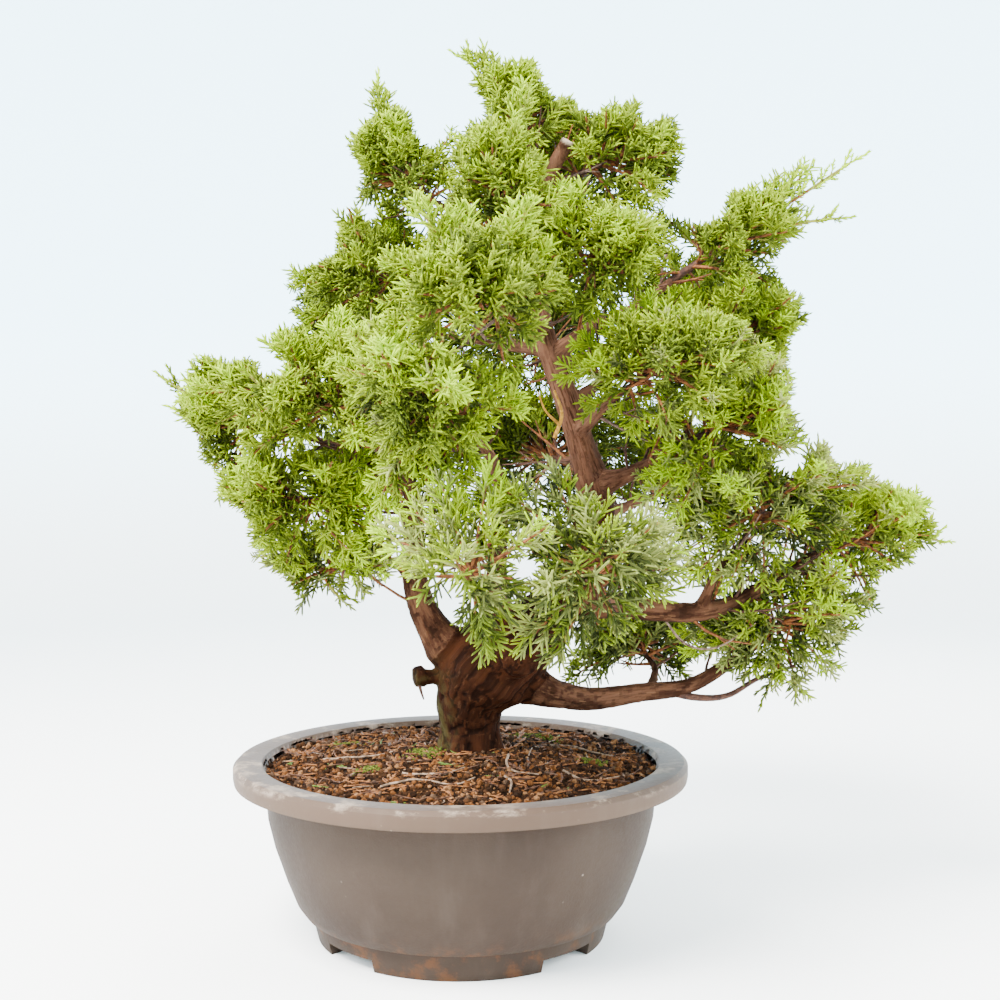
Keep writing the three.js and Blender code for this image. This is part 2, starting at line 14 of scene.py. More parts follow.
import bmesh
import bpy
import numpy as np
from mathutils import Matrix, Vector, noise


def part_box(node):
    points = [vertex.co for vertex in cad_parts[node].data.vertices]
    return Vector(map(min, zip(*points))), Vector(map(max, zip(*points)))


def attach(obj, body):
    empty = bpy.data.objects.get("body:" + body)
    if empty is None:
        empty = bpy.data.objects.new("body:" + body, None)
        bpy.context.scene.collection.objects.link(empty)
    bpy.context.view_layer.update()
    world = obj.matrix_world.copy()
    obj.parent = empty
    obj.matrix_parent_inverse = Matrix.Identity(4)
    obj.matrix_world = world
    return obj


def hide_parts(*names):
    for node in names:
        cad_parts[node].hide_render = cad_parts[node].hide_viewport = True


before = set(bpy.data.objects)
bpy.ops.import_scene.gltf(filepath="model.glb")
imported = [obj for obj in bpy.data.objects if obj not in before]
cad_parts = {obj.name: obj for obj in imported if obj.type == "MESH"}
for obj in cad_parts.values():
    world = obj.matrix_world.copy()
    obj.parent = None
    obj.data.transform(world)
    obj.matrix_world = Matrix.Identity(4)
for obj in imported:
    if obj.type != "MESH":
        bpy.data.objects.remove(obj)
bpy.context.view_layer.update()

MM = 0.001
pot_low, pot_high = (Vector(corner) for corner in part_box("pot"))
AXIS = np.array([(pot_low.x + pot_high.x) / 2, (pot_low.y + pot_high.y) / 2, 0.0])
POT_RADIUS = (pot_high.x - pot_low.x) / 2 / MM
POT_HEIGHT = pot_high.z / MM


def metres(points):
    """Millimetres from the pot's axis to metres in the frame."""
    return np.asarray(points, float) * MM + AXIS


print("pot axis at", AXIS.round(4), "radius", round(POT_RADIUS, 1), "height", round(POT_HEIGHT, 1))

# %% [markdown]
# ## The camera and the light
#
# The photograph was taken level with the tree's middle and about 0.65 m in front of it. The lens and the
# place come from the ellipses of the pot's rim and foot. The light is a soft white room: a large lamp above
# and to the front, weaker ones at both sides and behind, a pale sky, and a pale floor that sweeps up all
# round. A sun lamp would be simpler, but its shadows are hard. Lamps with large faces give the soft ones
# that the photograph has.

# %% Camera
CAMERA = {"place": (19.7, -663.2, 230.1), "lens": 46.7, "sensor": 36.0, "nearest": 0.01, "down": 0.92}

lens = bpy.data.cameras.new("camera")
lens.lens = CAMERA["lens"]
lens.sensor_width = CAMERA["sensor"]
lens.clip_start = CAMERA["nearest"]
camera = bpy.data.objects.new("camera", lens)
camera.location = metres(CAMERA["place"])
camera.rotation_euler = (math.radians(90 - CAMERA["down"]), 0, 0)
bpy.context.scene.collection.objects.link(camera)
bpy.context.scene.camera = camera
print("camera at", tuple(round(v, 3) for v in camera.location))

# %% Lamps and sky
LAMPS = [
    {"name": "key", "place": (-500, -650, 1250), "aim": (20, 0, 220), "size": 600, "watts": 118},
    {"name": "left", "place": (-1150, -250, 550), "aim": (0, 0, 220), "size": 800, "watts": 30},
    {"name": "right", "place": (1200, -150, 600), "aim": (0, 0, 220), "size": 800, "watts": 34},
    {"name": "back", "place": (300, 1000, 1000), "aim": (0, 0, 260), "size": 800, "watts": 20},
]
SKY = {"color": (0.93, 0.96, 1.0), "strength": 1.5}

for lamp in LAMPS:
    light = bpy.data.lights.new(lamp["name"], "AREA")
    light.size = lamp["size"] * MM
    light.energy = lamp["watts"]
    holder = bpy.data.objects.new(lamp["name"], light)
    holder.location = metres(lamp["place"])
    aim = Vector(metres(lamp["aim"])) - holder.location
    holder.rotation_euler = aim.to_track_quat("-Z", "Y").to_euler()
    bpy.context.scene.collection.objects.link(holder)

world = bpy.data.worlds.new("sky")
world.use_nodes = True
backdrop = world.node_tree.nodes["Background"]
backdrop.inputs["Color"].default_value = (*SKY["color"], 1)
backdrop.inputs["Strength"].default_value = SKY["strength"]
bpy.context.scene.world = world
print(len(LAMPS), "lamps")

# %% [markdown]
# ## Writing materials as sums
#
# A material is a net of nodes. Drawn by hand it takes dozens of links, so here a small class stands for one
# output of one node: adding or multiplying two of them adds a Math node. Everything else is made by `node`,
# which takes the node's type, its settings and what its sockets get.


# %% Sockets and finishes
class Socket:
    """One output of a node. Sums and products of sockets and numbers add Math nodes."""

    def __init__(self, finish, link):
        self.finish = finish
        self.link = link

    def math(self, operation, first, second):
        return self.finish.node("ShaderNodeMath", {"operation": operation}, {0: first, 1: second})

    def __add__(self, other):
        return self.math("ADD", self, other)

    def __sub__(self, other):
        return self.math("SUBTRACT", self, other)

    def __rsub__(self, other):
        return self.math("SUBTRACT", other, self)

    def __mul__(self, other):
        return self.math("MULTIPLY", self, other)

    __radd__ = __add__
    __rmul__ = __mul__

    def between(self, low, high):
        """0 below low, 1 above high, and a smooth step from one to the other."""
        settings = {"interpolation_type": "SMOOTHSTEP"}
        return self.finish.node("ShaderNodeMapRange", settings, {0: self, 1: low, 2: high, 3: 0.0, 4: 1.0})


class Finish:
    """A material with one Principled shader, whose sockets are set by name."""

    def __init__(self, name, color, roughness, shine):
        self.material = bpy.data.materials.new(name)
        self.material.use_nodes = True
        self.material.diffuse_color = (*color, 1)
        self.tree = self.material.node_tree
        self.shader = self.tree.nodes["Principled BSDF"]
        self.feed("Base Color", color)
        self.feed("Roughness", roughness)
        self.feed("Specular IOR Level", shine)

    def put(self, socket, value):
        """Links a socket to another's output, or gives it a plain value."""
        if isinstance(value, Socket):
            self.tree.links.new(value.link, socket)
        elif isinstance(value, (tuple, list)) and len(value) == 3 and socket.type == "RGBA":
            socket.default_value = (*value, 1)
        else:
            socket.default_value = value

    def feed(self, socket, value):
        """Gives one of the shader's sockets a link or a value."""
        self.put(self.shader.inputs[socket], value)

    def node(self, kind, settings, inputs, output=0):
        """Adds a node. Its settings come first, then what its sockets get."""
        made = self.tree.nodes.new(kind)
        for key, value in settings.items():
            setattr(made, key, value)
        for key, value in inputs.items():
            self.put(made.inputs[key], value)
        return Socket(self, made.outputs[output])

    def place(self):
        """The point's place on the object, in metres."""
        return self.node("ShaderNodeTexCoord", {}, {}, "Object")

    def stored(self, name, kind="Vector"):
        """A vector, or a number where the kind is Fac, that is stored on the mesh's own points."""
        return self.node("ShaderNodeAttribute", {"attribute_name": name}, {}, kind)

    def stretched(self, vector, scale):
        return self.node("ShaderNodeMapping", {}, {"Vector": vector, "Scale": scale})

    def clouds(self, vector, scale, detail=4.0, roughness=0.55):
        inputs = {"Vector": vector, "Scale": scale, "Detail": detail, "Roughness": roughness}
        return self.node("ShaderNodeTexNoise", {}, inputs)

    def cells(self, vector, scale):
        return self.node("ShaderNodeTexVoronoi", {}, {"Vector": vector, "Scale": scale})

    def mix(self, factor, first, second):
        """A colour between two. A Mix node takes colours at sockets 6 and 7 and gives one at output 2."""
        inputs = {"Factor": factor, 6: first, 7: second}
        return self.node("ShaderNodeMix", {"data_type": "RGBA"}, inputs, 2)

    def bump(self, height, distance, strength):
        """Small relief of a given height in mm, which only bends the light."""
        inputs = {"Height": height, "Distance": distance * MM, "Strength": strength}
        self.feed("Normal", self.node("ShaderNodeBump", {}, inputs, "Normal"))

    def axes(self, vector):
        """The three numbers of a vector."""
        split = self.node("ShaderNodeSeparateXYZ", {}, {0: vector})
        return [Socket(self, out) for out in split.link.node.outputs]


def dress(thing, *finishes):
    """Gives a new object its materials, in the order of its faces' numbers."""
    for finish in finishes:
        thing.data.materials.append(finish.material)


print("materials so far:", len(bpy.data.materials))

# %% [markdown]
# ## The floor
#
# A plain pale floor shows where the pot's foot stands. A flat square would end in a horizon line, and walls
# would show their corners. So the floor is a wide disc whose edge curves up into a wall, made by spinning
# one line round the pot's axis. The wall also gives off a pale blue light, most of it behind the tree,
# where the photograph's background is brightest.

# %% Floor
FLOOR = {"patch": 200, "flat": 1500, "curve": 500, "wall": 1500, "steps": 72, "arc_steps": 10}
PAINT = {"low": (0.97, 0.93, 0.88), "high": (0.6, 0.74, 0.82), "glow": (0.5, 0.82, 1.0), "strength": 3.6}
SPIN_MERGE = 0.01  # points nearer than this many mm become one


def spun(name, rows, steps):
    """Spins rows of radius and height, in mm, round the pot's axis."""
    shape = bmesh.new()
    ring = [shape.verts.new(metres((radius, 0, height))) for radius, height in rows]
    edges = [shape.edges.new(pair) for pair in zip(ring, ring[1:])]
    turn = {"cent": AXIS, "axis": (0, 0, 1), "angle": 2 * math.pi, "steps": steps, "use_merge": True}
    bmesh.ops.spin(shape, geom=ring + edges, **turn)
    bmesh.ops.remove_doubles(shape, verts=shape.verts, dist=SPIN_MERGE * MM)
    bmesh.ops.recalc_face_normals(shape, faces=shape.faces)
    mesh = bpy.data.meshes.new(name)
    shape.to_mesh(mesh)
    shape.free()
    mesh.shade_smooth()
    thing = bpy.data.objects.new(name, mesh)
    bpy.context.scene.collection.objects.link(thing)
    return thing


turns = np.linspace(0, math.pi / 2, FLOOR["arc_steps"])
arc = [
    (FLOOR["flat"] + FLOOR["curve"] * math.sin(turn), FLOOR["curve"] * (1 - math.cos(turn))) for turn in turns
]
floor_rows = [(0, 0), (FLOOR["patch"], 0), *arc, (arc[-1][0], FLOOR["wall"])]
floor = spun("floor", floor_rows, FLOOR["steps"])
floor.data.flip_normals()
paint = Finish("floor_paint", PAINT["low"], 0.9, 0.0)
_, depth, height = paint.axes(paint.place())
paint.feed("Base Color", paint.mix(height.between(0.05, 0.6), PAINT["low"], PAINT["high"]))
glowing = height.between(0.0, 0.5) * (0.35 + 0.65 * depth.between(-1.0, 1.0))
paint.feed("Emission Color", paint.mix(glowing, (0.0, 0.0, 0.0), PAINT["glow"]))
paint.feed("Emission Strength", PAINT["strength"])
dress(floor, paint)
print("floor is", round(floor.dimensions.x, 2), "m across")

# %% [markdown]
# ## The pot
#
# The pot is moulded plastic: a basin whose wall swells outwards, a rim folded over like an upside-down
# channel, and a foot ring with four notches that let water out. It could be pulled out of a cylinder face
# by face, but a round thing is truer and easier to change as one profile that is spun round its axis. Two
# bars are then cut out of the foot crosswise, and a bevel rounds every sharp edge by a little, as a mould
# does.

# %% Pot
WALL = 3.0
RIM_WIDTH = 14.0
RIM_DEPTH = 9.0
FOOT_RADIUS = 76.0
FOOT_HEIGHT = 13.0
RIM_BASE = POT_HEIGHT - RIM_DEPTH
BASIN = [
    (FOOT_RADIUS + 4, FOOT_HEIGHT + 1),
    (84, 19.5),
    (88.7, 31),
    (94.6, 48),
    (97.8, 61),
    (99.5, RIM_BASE),
]
UNDERSIDE = 11.0
FLOOR_TOP = 15.0
NOTCH = {"width": 32, "height": 6, "turns": (45, -45)}
ROUNDING = {"width": 0.9, "segments": 3, "angle": 24}
POT_STEPS = 144

inside = [(radius - WALL, height) for radius, height in BASIN[2:]]
pot_rows = [
    (0, UNDERSIDE),
    (FOOT_RADIUS - 13, UNDERSIDE),
    (FOOT_RADIUS - 12, 0),
    (FOOT_RADIUS - 3, 0),
    (FOOT_RADIUS - 0.2, FOOT_HEIGHT - 2),
    (FOOT_RADIUS, FOOT_HEIGHT),
    *BASIN,
    (BASIN[-1][0], POT_HEIGHT - WALL),
    (POT_RADIUS - WALL, POT_HEIGHT - WALL),
    (POT_RADIUS - WALL, RIM_BASE),
    (POT_RADIUS - 0.5, RIM_BASE),
    (POT_RADIUS, RIM_BASE + 2.5),
    (POT_RADIUS, POT_HEIGHT - 2),
    (POT_RADIUS - 2, POT_HEIGHT),
    (POT_RADIUS - RIM_WIDTH, POT_HEIGHT - 0.5),
    *reversed(inside),
    (FOOT_RADIUS + 4, FLOOR_TOP + 4),
    (FOOT_RADIUS, FLOOR_TOP),
    (0, FLOOR_TOP),
]
pot_blank = spun("pot_blank", pot_rows, POT_STEPS)


def notch_bars():
    """Two bars that cross under the pot, as one mesh."""
    shape = bmesh.new()
    size = (2 * POT_RADIUS * MM, NOTCH["width"] * MM, 2 * NOTCH["height"] * MM)
    for turn in NOTCH["turns"]:
        made = bmesh.ops.create_cube(shape, size=1.0)["verts"]
        crosswise = Matrix.Rotation(math.radians(turn), 3, "Z")
        bmesh.ops.scale(shape, vec=size, verts=made)
        bmesh.ops.rotate(shape, cent=(0, 0, 0), matrix=crosswise, verts=made)
        bmesh.ops.translate(shape, vec=Vector(AXIS), verts=made)
    mesh = bpy.data.meshes.new("notch_bars")
    shape.to_mesh(mesh)
    shape.free()
    bars = bpy.data.objects.new("notch_bars", mesh)
    bpy.context.scene.collection.objects.link(bars)
    return bars


def settled(thing, name):
    """A plain copy of an object with its modifiers applied. The object itself is removed."""
    graph = bpy.context.evaluated_depsgraph_get()
    mesh = bpy.data.meshes.new_from_object(thing.evaluated_get(graph))
    mesh.name = name
    bpy.data.objects.remove(thing)
    made = bpy.data.objects.new(name, mesh)
    bpy.context.scene.collection.objects.link(made)
    return made


def triangles(thing):
    return sum(len(face.vertices) - 2 for face in thing.data.polygons)


bars = notch_bars()
cut = pot_blank.modifiers.new("notches", "BOOLEAN")
cut.operation = "DIFFERENCE"
cut.solver = "EXACT"
cut.use_self = True
cut.object = bars
rounding = pot_blank.modifiers.new("rounding", "BEVEL")
rounding.width = ROUNDING["width"] * MM
rounding.segments = ROUNDING["segments"]
rounding.angle_limit = math.radians(ROUNDING["angle"])
pot = settled(pot_blank, "pot_shell")
bpy.data.objects.remove(bars)
pot.data.shade_smooth()
print("pot:", triangles(pot), "triangles")

# %% [markdown]
# ### The pot's plastic
#
# Dark warm-grey plastic with a fine leathery grain on the basin and a smoother rim. Use has left chalky
# scuffs along the rim's outer edge, pale specks and faint runs down the wall, and a film of brown dirt near
# the foot. A painted picture would need the pot to be unwrapped. All of these marks follow the height on
# the pot, so noise and the height do without one, in a single material.

# %% Pot plastic
PLASTIC = {
    "dark": (0.0245, 0.0152, 0.0105),
    "light": (0.036, 0.0238, 0.0168),
    "rim": (0.085, 0.052, 0.034),
    "runs": (0.13, 0.1, 0.08),
    "specks": (0.26, 0.21, 0.17),
    "chalk": (0.32, 0.245, 0.185),
    "dirt": (0.07, 0.028, 0.011),
}

plastic = Finish("pot_plastic", (0.04, 0.032, 0.026), 0.6, 0.1)
spot = plastic.place()
height = plastic.axes(spot)[2]
broad = plastic.clouds(spot, 14, 3)
grain = plastic.cells(spot, 900)
fine = plastic.clouds(spot, 420, 3)
runs = plastic.clouds(plastic.stretched(spot, (60, 60, 5)), 1.0, 4)
specks = plastic.cells(spot, 170)
on_rim = height.between((RIM_BASE - 0.5) * MM, (RIM_BASE + 0.5) * MM)
rim_edge = height.between((POT_HEIGHT - 4.5) * MM, (POT_HEIGHT - 0.5) * MM)
scuffs = plastic.clouds(plastic.stretched(spot, (1, 1, 2.5)), 55, 6, 0.7)
chalk = rim_edge * scuffs.between(0.5, 0.68)
speck_mask = (1 - specks.between(0.05, 0.13)) * plastic.clouds(spot, 30, 2).between(0.56, 0.7)
low_down = 1 - height.between(9 * MM, 26 * MM)
dirt = low_down * plastic.clouds(spot, 90, 5, 0.65).between(0.5, 0.66)

color = plastic.mix(broad.between(0.3, 0.7), PLASTIC["dark"], PLASTIC["light"])
color = plastic.mix(on_rim * 0.6, color, PLASTIC["rim"])
color = plastic.mix(runs.between(0.5, 0.75) * 0.1, color, PLASTIC["runs"])
color = plastic.mix(speck_mask * 0.5, color, PLASTIC["specks"])
color = plastic.mix(chalk * 0.6, color, PLASTIC["chalk"])
color = plastic.mix(dirt * 0.8, color, PLASTIC["dirt"])
plastic.feed("Base Color", color)
plastic.feed("Roughness", 0.56 + fine * 0.2 - on_rim * 0.1 + chalk * 0.2)
plastic.bump(grain * (1 - on_rim) * 0.7 + fine * 0.5, 0.25, 0.35)
dress(pot, plastic)
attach(pot, "root")
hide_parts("pot")
print("pot dressed")

# %% [markdown]
# ## The soil
#
# The pot is filled with damp clay granules, a little higher towards the trunk. The ground is one spun
# surface with low lumps and uneven relief. It is painted nearly black: partly the dark damp soil and partly
# painted shade, which stands in for the deep gaps between the grains. On it lie thousands of granules. A bump
# would look flat at the rim, where they stand out against the pot, so each is a shape of its own: one lumpy
# ball of twenty faces, squeezed and turned anew for each place. They are joined into one mesh, because a
# scattered copy would be lost in the export. Small patches of moss are made of the same grains in green.

# %% Ground
GROUND = 93.5
GROUND_FLAT = 24.0
LUMPS = {"height": 1.2, "width": 21, "from": 27, "full": 42}
BUMPS = {"height": 0.6, "width": 6, "layer": 8.2, "sunk": 1.0}
SOIL_EDGE = 84.6
SOIL_BOTTOM = 70.0
SOIL_GAP = 0.3  # between the ground and the pot's wall
RINGS = 34
SOIL_STEPS = 120
GROUND_AND_GAP_SHADE_COLORS = ((0.006, 0.0028, 0.0012), (0.028, 0.012, 0.005))


def wall_radius(height):
    """Radius of the pot's inner wall at a height."""
    rows = [*inside, (POT_RADIUS - RIM_WIDTH, POT_HEIGHT - 0.5)]
    return float(np.interp(height, [row[1] for row in rows], [row[0] for row in rows]))


SOIL_RADIUS = wall_radius(SOIL_EDGE) - SOIL_GAP


def soil_height(x, y):
    """Height of the ground at a place in mm from the pot's axis, with its bumps."""
    radius = math.hypot(x, y)
    slope = np.interp(radius, [0, GROUND_FLAT, SOIL_RADIUS], [GROUND, GROUND, SOIL_EDGE])
    share = min(max((radius - LUMPS["from"]) / (LUMPS["full"] - LUMPS["from"]), 0), 1)
    waves = math.cos(math.pi * x / LUMPS["width"]) * math.cos(math.pi * y / LUMPS["width"])
    lumps = share * share * (3 - 2 * share) * LUMPS["height"] * waves
    bump = noise.noise(Vector((x / BUMPS["width"], y / BUMPS["width"], BUMPS["layer"]))) * BUMPS["height"]
    return slope - BUMPS["sunk"] + lumps + bump


soil_rows = [(0, SOIL_BOTTOM), (wall_radius(SOIL_BOTTOM) - SOIL_GAP, SOIL_BOTTOM), (SOIL_RADIUS, SOIL_EDGE)]
soil_rows += [(SOIL_RADIUS * (1 - k / RINGS), GROUND) for k in range(1, RINGS + 1)]
soil = spun("soil_ground", soil_rows, SOIL_STEPS)
for corner in soil.data.vertices:
    x, y = ((corner.co.x - AXIS[0]) / MM, (corner.co.y - AXIS[1]) / MM)
    if corner.co.z > (SOIL_EDGE - 1) * MM:
        corner.co.z = soil_height(x, y) * MM

# The ground's near-black colour is partly damp soil and partly painted shade of the gaps between the grains.
ground_finish = Finish("soil_damp_and_gap_shade", (0.02, 0.009, 0.004), 0.95, 0.03)
spot = ground_finish.place()
patches = ground_finish.clouds(spot, 260, 5, 0.7)
ground_finish.feed("Base Color", ground_finish.mix(patches.between(0.42, 0.62), *GROUND_AND_GAP_SHADE_COLORS))
ground_finish.bump(patches, 1.2, 0.8)
dress(soil, ground_finish)
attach(soil, "root")
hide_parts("soil")
print("ground:", triangles(soil), "triangles")


# %% Joining thousands of small shapes into one mesh
TINY = 1e-9  # keeps a division by a length from failing
UNEVEN = (0.72, 1.15)  # how far out the corners of a granule lie


def mesh_of(name, corners, faces, slots):
    """One object from arrays: corners in mm, three corners a face, and each face's material."""
    mesh = bpy.data.meshes.new(name)
    mesh.vertices.add(len(corners))
    mesh.vertices.foreach_set("co", metres(corners).astype(np.float32).ravel())
    mesh.loops.add(3 * len(faces))
    mesh.loops.foreach_set("vertex_index", np.asarray(faces, np.int32).ravel())
    mesh.polygons.add(len(faces))
    mesh.polygons.foreach_set("loop_start", np.arange(0, 3 * len(faces), 3, dtype=np.int32))
    mesh.polygons.foreach_set("material_index", np.asarray(slots, np.int32))
    mesh.update(calc_edges=True)
    mesh.shade_smooth()
    thing = bpy.data.objects.new(name, mesh)
    bpy.context.scene.collection.objects.link(thing)
    return thing


def turned_frames(along, face):
    """Rotation matrices whose first axis is along and whose third is nearest to face, for many at once."""
    along = along / np.linalg.norm(along, axis=1, keepdims=True)
    side = np.cross(face, along)
    side /= np.linalg.norm(side, axis=1, keepdims=True) + TINY
    return np.stack([along, side, np.cross(along, side)], axis=2)


def scattered(shape, places, frames, scales):
    """Copies of one shape's corners and faces at each place, as joined arrays."""
    corners, faces = shape
    placed = np.einsum("nij,nkj->nki", frames, corners[None] * scales[:, None, :]) + places[:, None, :]
    steps = np.arange(len(places))[:, None, None] * len(corners)
    return placed.reshape(-1, 3), (faces[None] + steps).reshape(-1, 3)


def arrays_of(shape):
    """The corners and the faces of a small shape."""
    corners = np.array([corner.co for corner in shape.verts])
    return corners, np.array([[corner.index for corner in face.verts] for face in shape.faces])


def lumpy_ball(seed):
    """A ball of twenty faces with uneven corners, radius about 1."""
    shape = bmesh.new()
    bmesh.ops.create_icosphere(shape, subdivisions=1, radius=1.0)
    rng = np.random.default_rng(seed)
    corners, faces = arrays_of(shape)
    shape.free()
    return corners * rng.uniform(*UNEVEN, (len(corners), 1)), faces


ball = lumpy_ball(1)
print("a granule has", len(ball[1]), "faces")

# %% Granules
GRAINS = {"count": 8200, "shape": 6.0, "scale": 0.19, "least": 0.5, "most": 2.1}
GRAIN_SHARES = [0.28, 0.28, 0.22, 0.14, 0.08]  # of the first five colours below
SQUEEZED = (0.62, 1.15)
SUNK = (-0.4, 0.45)  # how far a granule is moved up, in its own size
FROM_WALL = 0.7
TRUNK_FOOT = {"place": (4.0, 0.0), "radius": 13.5}
MOSS_GRAINS = {"sizes": (0.5, 1.1), "above": 0.8, "from_wall": 2}
MOSS = [
    {"place": (-17, -13), "reach": 9, "count": 190},
    {"place": (38, 44), "reach": 13, "count": 220},
    {"place": (-62, 30), "reach": 9, "count": 110},
    {"place": (66, -14), "reach": 8, "count": 80},
    {"place": (-45, -38), "reach": 7, "count": 60},
]


def spread_on_soil(count, rng, edge=SOIL_RADIUS - FROM_WALL):
    """Even random places on the ground, none inside the trunk."""
    radius = edge * np.sqrt(rng.uniform(0, 1, count))
    angle = rng.uniform(0, 2 * math.pi, count)
    flat = np.stack([radius * np.cos(angle), radius * np.sin(angle)], axis=1)
    clear = np.linalg.norm(flat - TRUNK_FOOT["place"], axis=1) > TRUNK_FOOT["radius"]
    return on_ground(flat[clear])


def on_ground(flat, above=0.0):
    """Flat places with the ground's height added."""
    return np.column_stack([flat, [soil_height(x, y) + above for x, y in flat]])


def random_directions(count, rng):
    made = rng.normal(size=(count, 3))
    return made / np.linalg.norm(made, axis=1, keepdims=True)


rng = np.random.default_rng(11)
places = spread_on_soil(GRAINS["count"], rng)
size = rng.gamma(GRAINS["shape"], GRAINS["scale"], len(places)).clip(GRAINS["least"], GRAINS["most"])
shades = rng.choice(len(GRAIN_SHARES), len(places), p=GRAIN_SHARES)
for patch in MOSS:
    flat = np.array(patch["place"]) + rng.normal(0, patch["reach"] / 2, (patch["count"], 2))
    flat = flat[np.linalg.norm(flat, axis=1) < SOIL_RADIUS - MOSS_GRAINS["from_wall"]]
    places = np.vstack([places, on_ground(flat, MOSS_GRAINS["above"])])
    size = np.append(size, rng.uniform(*MOSS_GRAINS["sizes"], len(flat)))
    shades = np.append(shades, np.full(len(flat), len(GRAIN_SHARES)))
count = len(places)
places[:, 2] += size * rng.uniform(*SUNK, count)
frames = turned_frames(random_directions(count, rng), random_directions(count, rng))
scales = size[:, None] * rng.uniform(*SQUEEZED, (count, 3))
corners, faces = scattered(ball, places, frames, scales)
grains = mesh_of("soil_granules", corners, faces, np.repeat(shades, len(ball[1])))


def mottled(name, dark, light, roughness, shine, clouds):
    """A finish whose colour goes from dark to light in fine clouds."""
    finish = Finish(name, light, roughness, shine)
    mottle = finish.clouds(finish.place(), *clouds).between(0.35, 0.65)
    finish.feed("Base Color", finish.mix(mottle, dark, light))
    return finish


GRAIN_FINISH = {"roughness": 0.95, "shine": 0.04, "clouds": (700, 4, 0.7)}
GRAIN_COLORS = {
    "granule_dark": ((0.006, 0.0028, 0.0012), (0.02, 0.0085, 0.004)),
    "granule_brown": ((0.018, 0.0075, 0.003), (0.05, 0.02, 0.008)),
    "granule_orange": ((0.04, 0.014, 0.004), (0.115, 0.041, 0.012)),
    "granule_tan": ((0.075, 0.031, 0.012), (0.2, 0.09, 0.036)),
    "granule_grey": ((0.022, 0.012, 0.007), (0.07, 0.038, 0.021)),
    "moss": ((0.02, 0.024, 0.004), (0.085, 0.1, 0.012)),
}
dress(grains, *[mottled(name, *pair, **GRAIN_FINISH) for name, pair in GRAIN_COLORS.items()])
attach(grains, "root")
print("granules:", count, "and", len(faces), "triangles")

# %% [markdown]
# ## The limbs' curves
#
# The trunk and each bough are smooth curves through a few named points, with a radius at the root and the
# tip. Limbs can be sculpted too, but a few points are easier to compare with a photograph and to move. They
# are the same rows as in the solids, written again here, so that the bark and the twigs lie where the
# solids do.
#
# A mass of foliage is an egg with a centre and three half sizes. Its tips are long shoots that stand out of
# the crown, and its tufts are places that a plume of shoots reaches for, which fills a gap or makes a peak
# of the outline. Its tone tells how bright its green is: partly the green of its shoots and partly painted
# shade, which makes the masses at the back and the one under the right bough darker. Grey tells how many of
# its sprays have a bloom, rise how much they turn up, tails how many tails it has, and loose whether its
# sprays are the wide ones.

# %% Trunk, boughs and masses
TRUNK = [
    (4, 0, 84, 16),
    (4, 0, 104, 15.5),
    (5, -2, 118, 18.5),
    (12, -4, 132, 26),
    (26, -4, 145, 23),
    (39, -2, 156, 16),
    (50, 1, 168, 12.5),
    (64, 5, 189, 11.8),
    (69, 8, 219, 10),
    (61, 6, 250, 7.2),
    (52, 4, 276, 6.4),
    (44, 3, 299, 5.8),
    (39, 2, 324, 5),
    (39, 0, 352, 4.2),
    (39, 0, 377, 3.2),
    (33, 2, 403, 2.2),
]
ROOT_FLARES = [(-20, 16), (70, 17), (165, 12), (250, 17)]
CUT_STUBS = {
    "knob": [(18, -6, 138, 13), (31, -31, 144, 10)],
    "left_stub": [(4, -4, 129, 3.9), (-20, -11, 130.5, 3.9)],
    "left_stub_end": [(-19, -10.5, 131, 5.5), (-23.5, -12, 130.5, 5)],
    "top_stub": [(39, 0, 374, 4.2), (54, -7, 401, 3.6)],
}
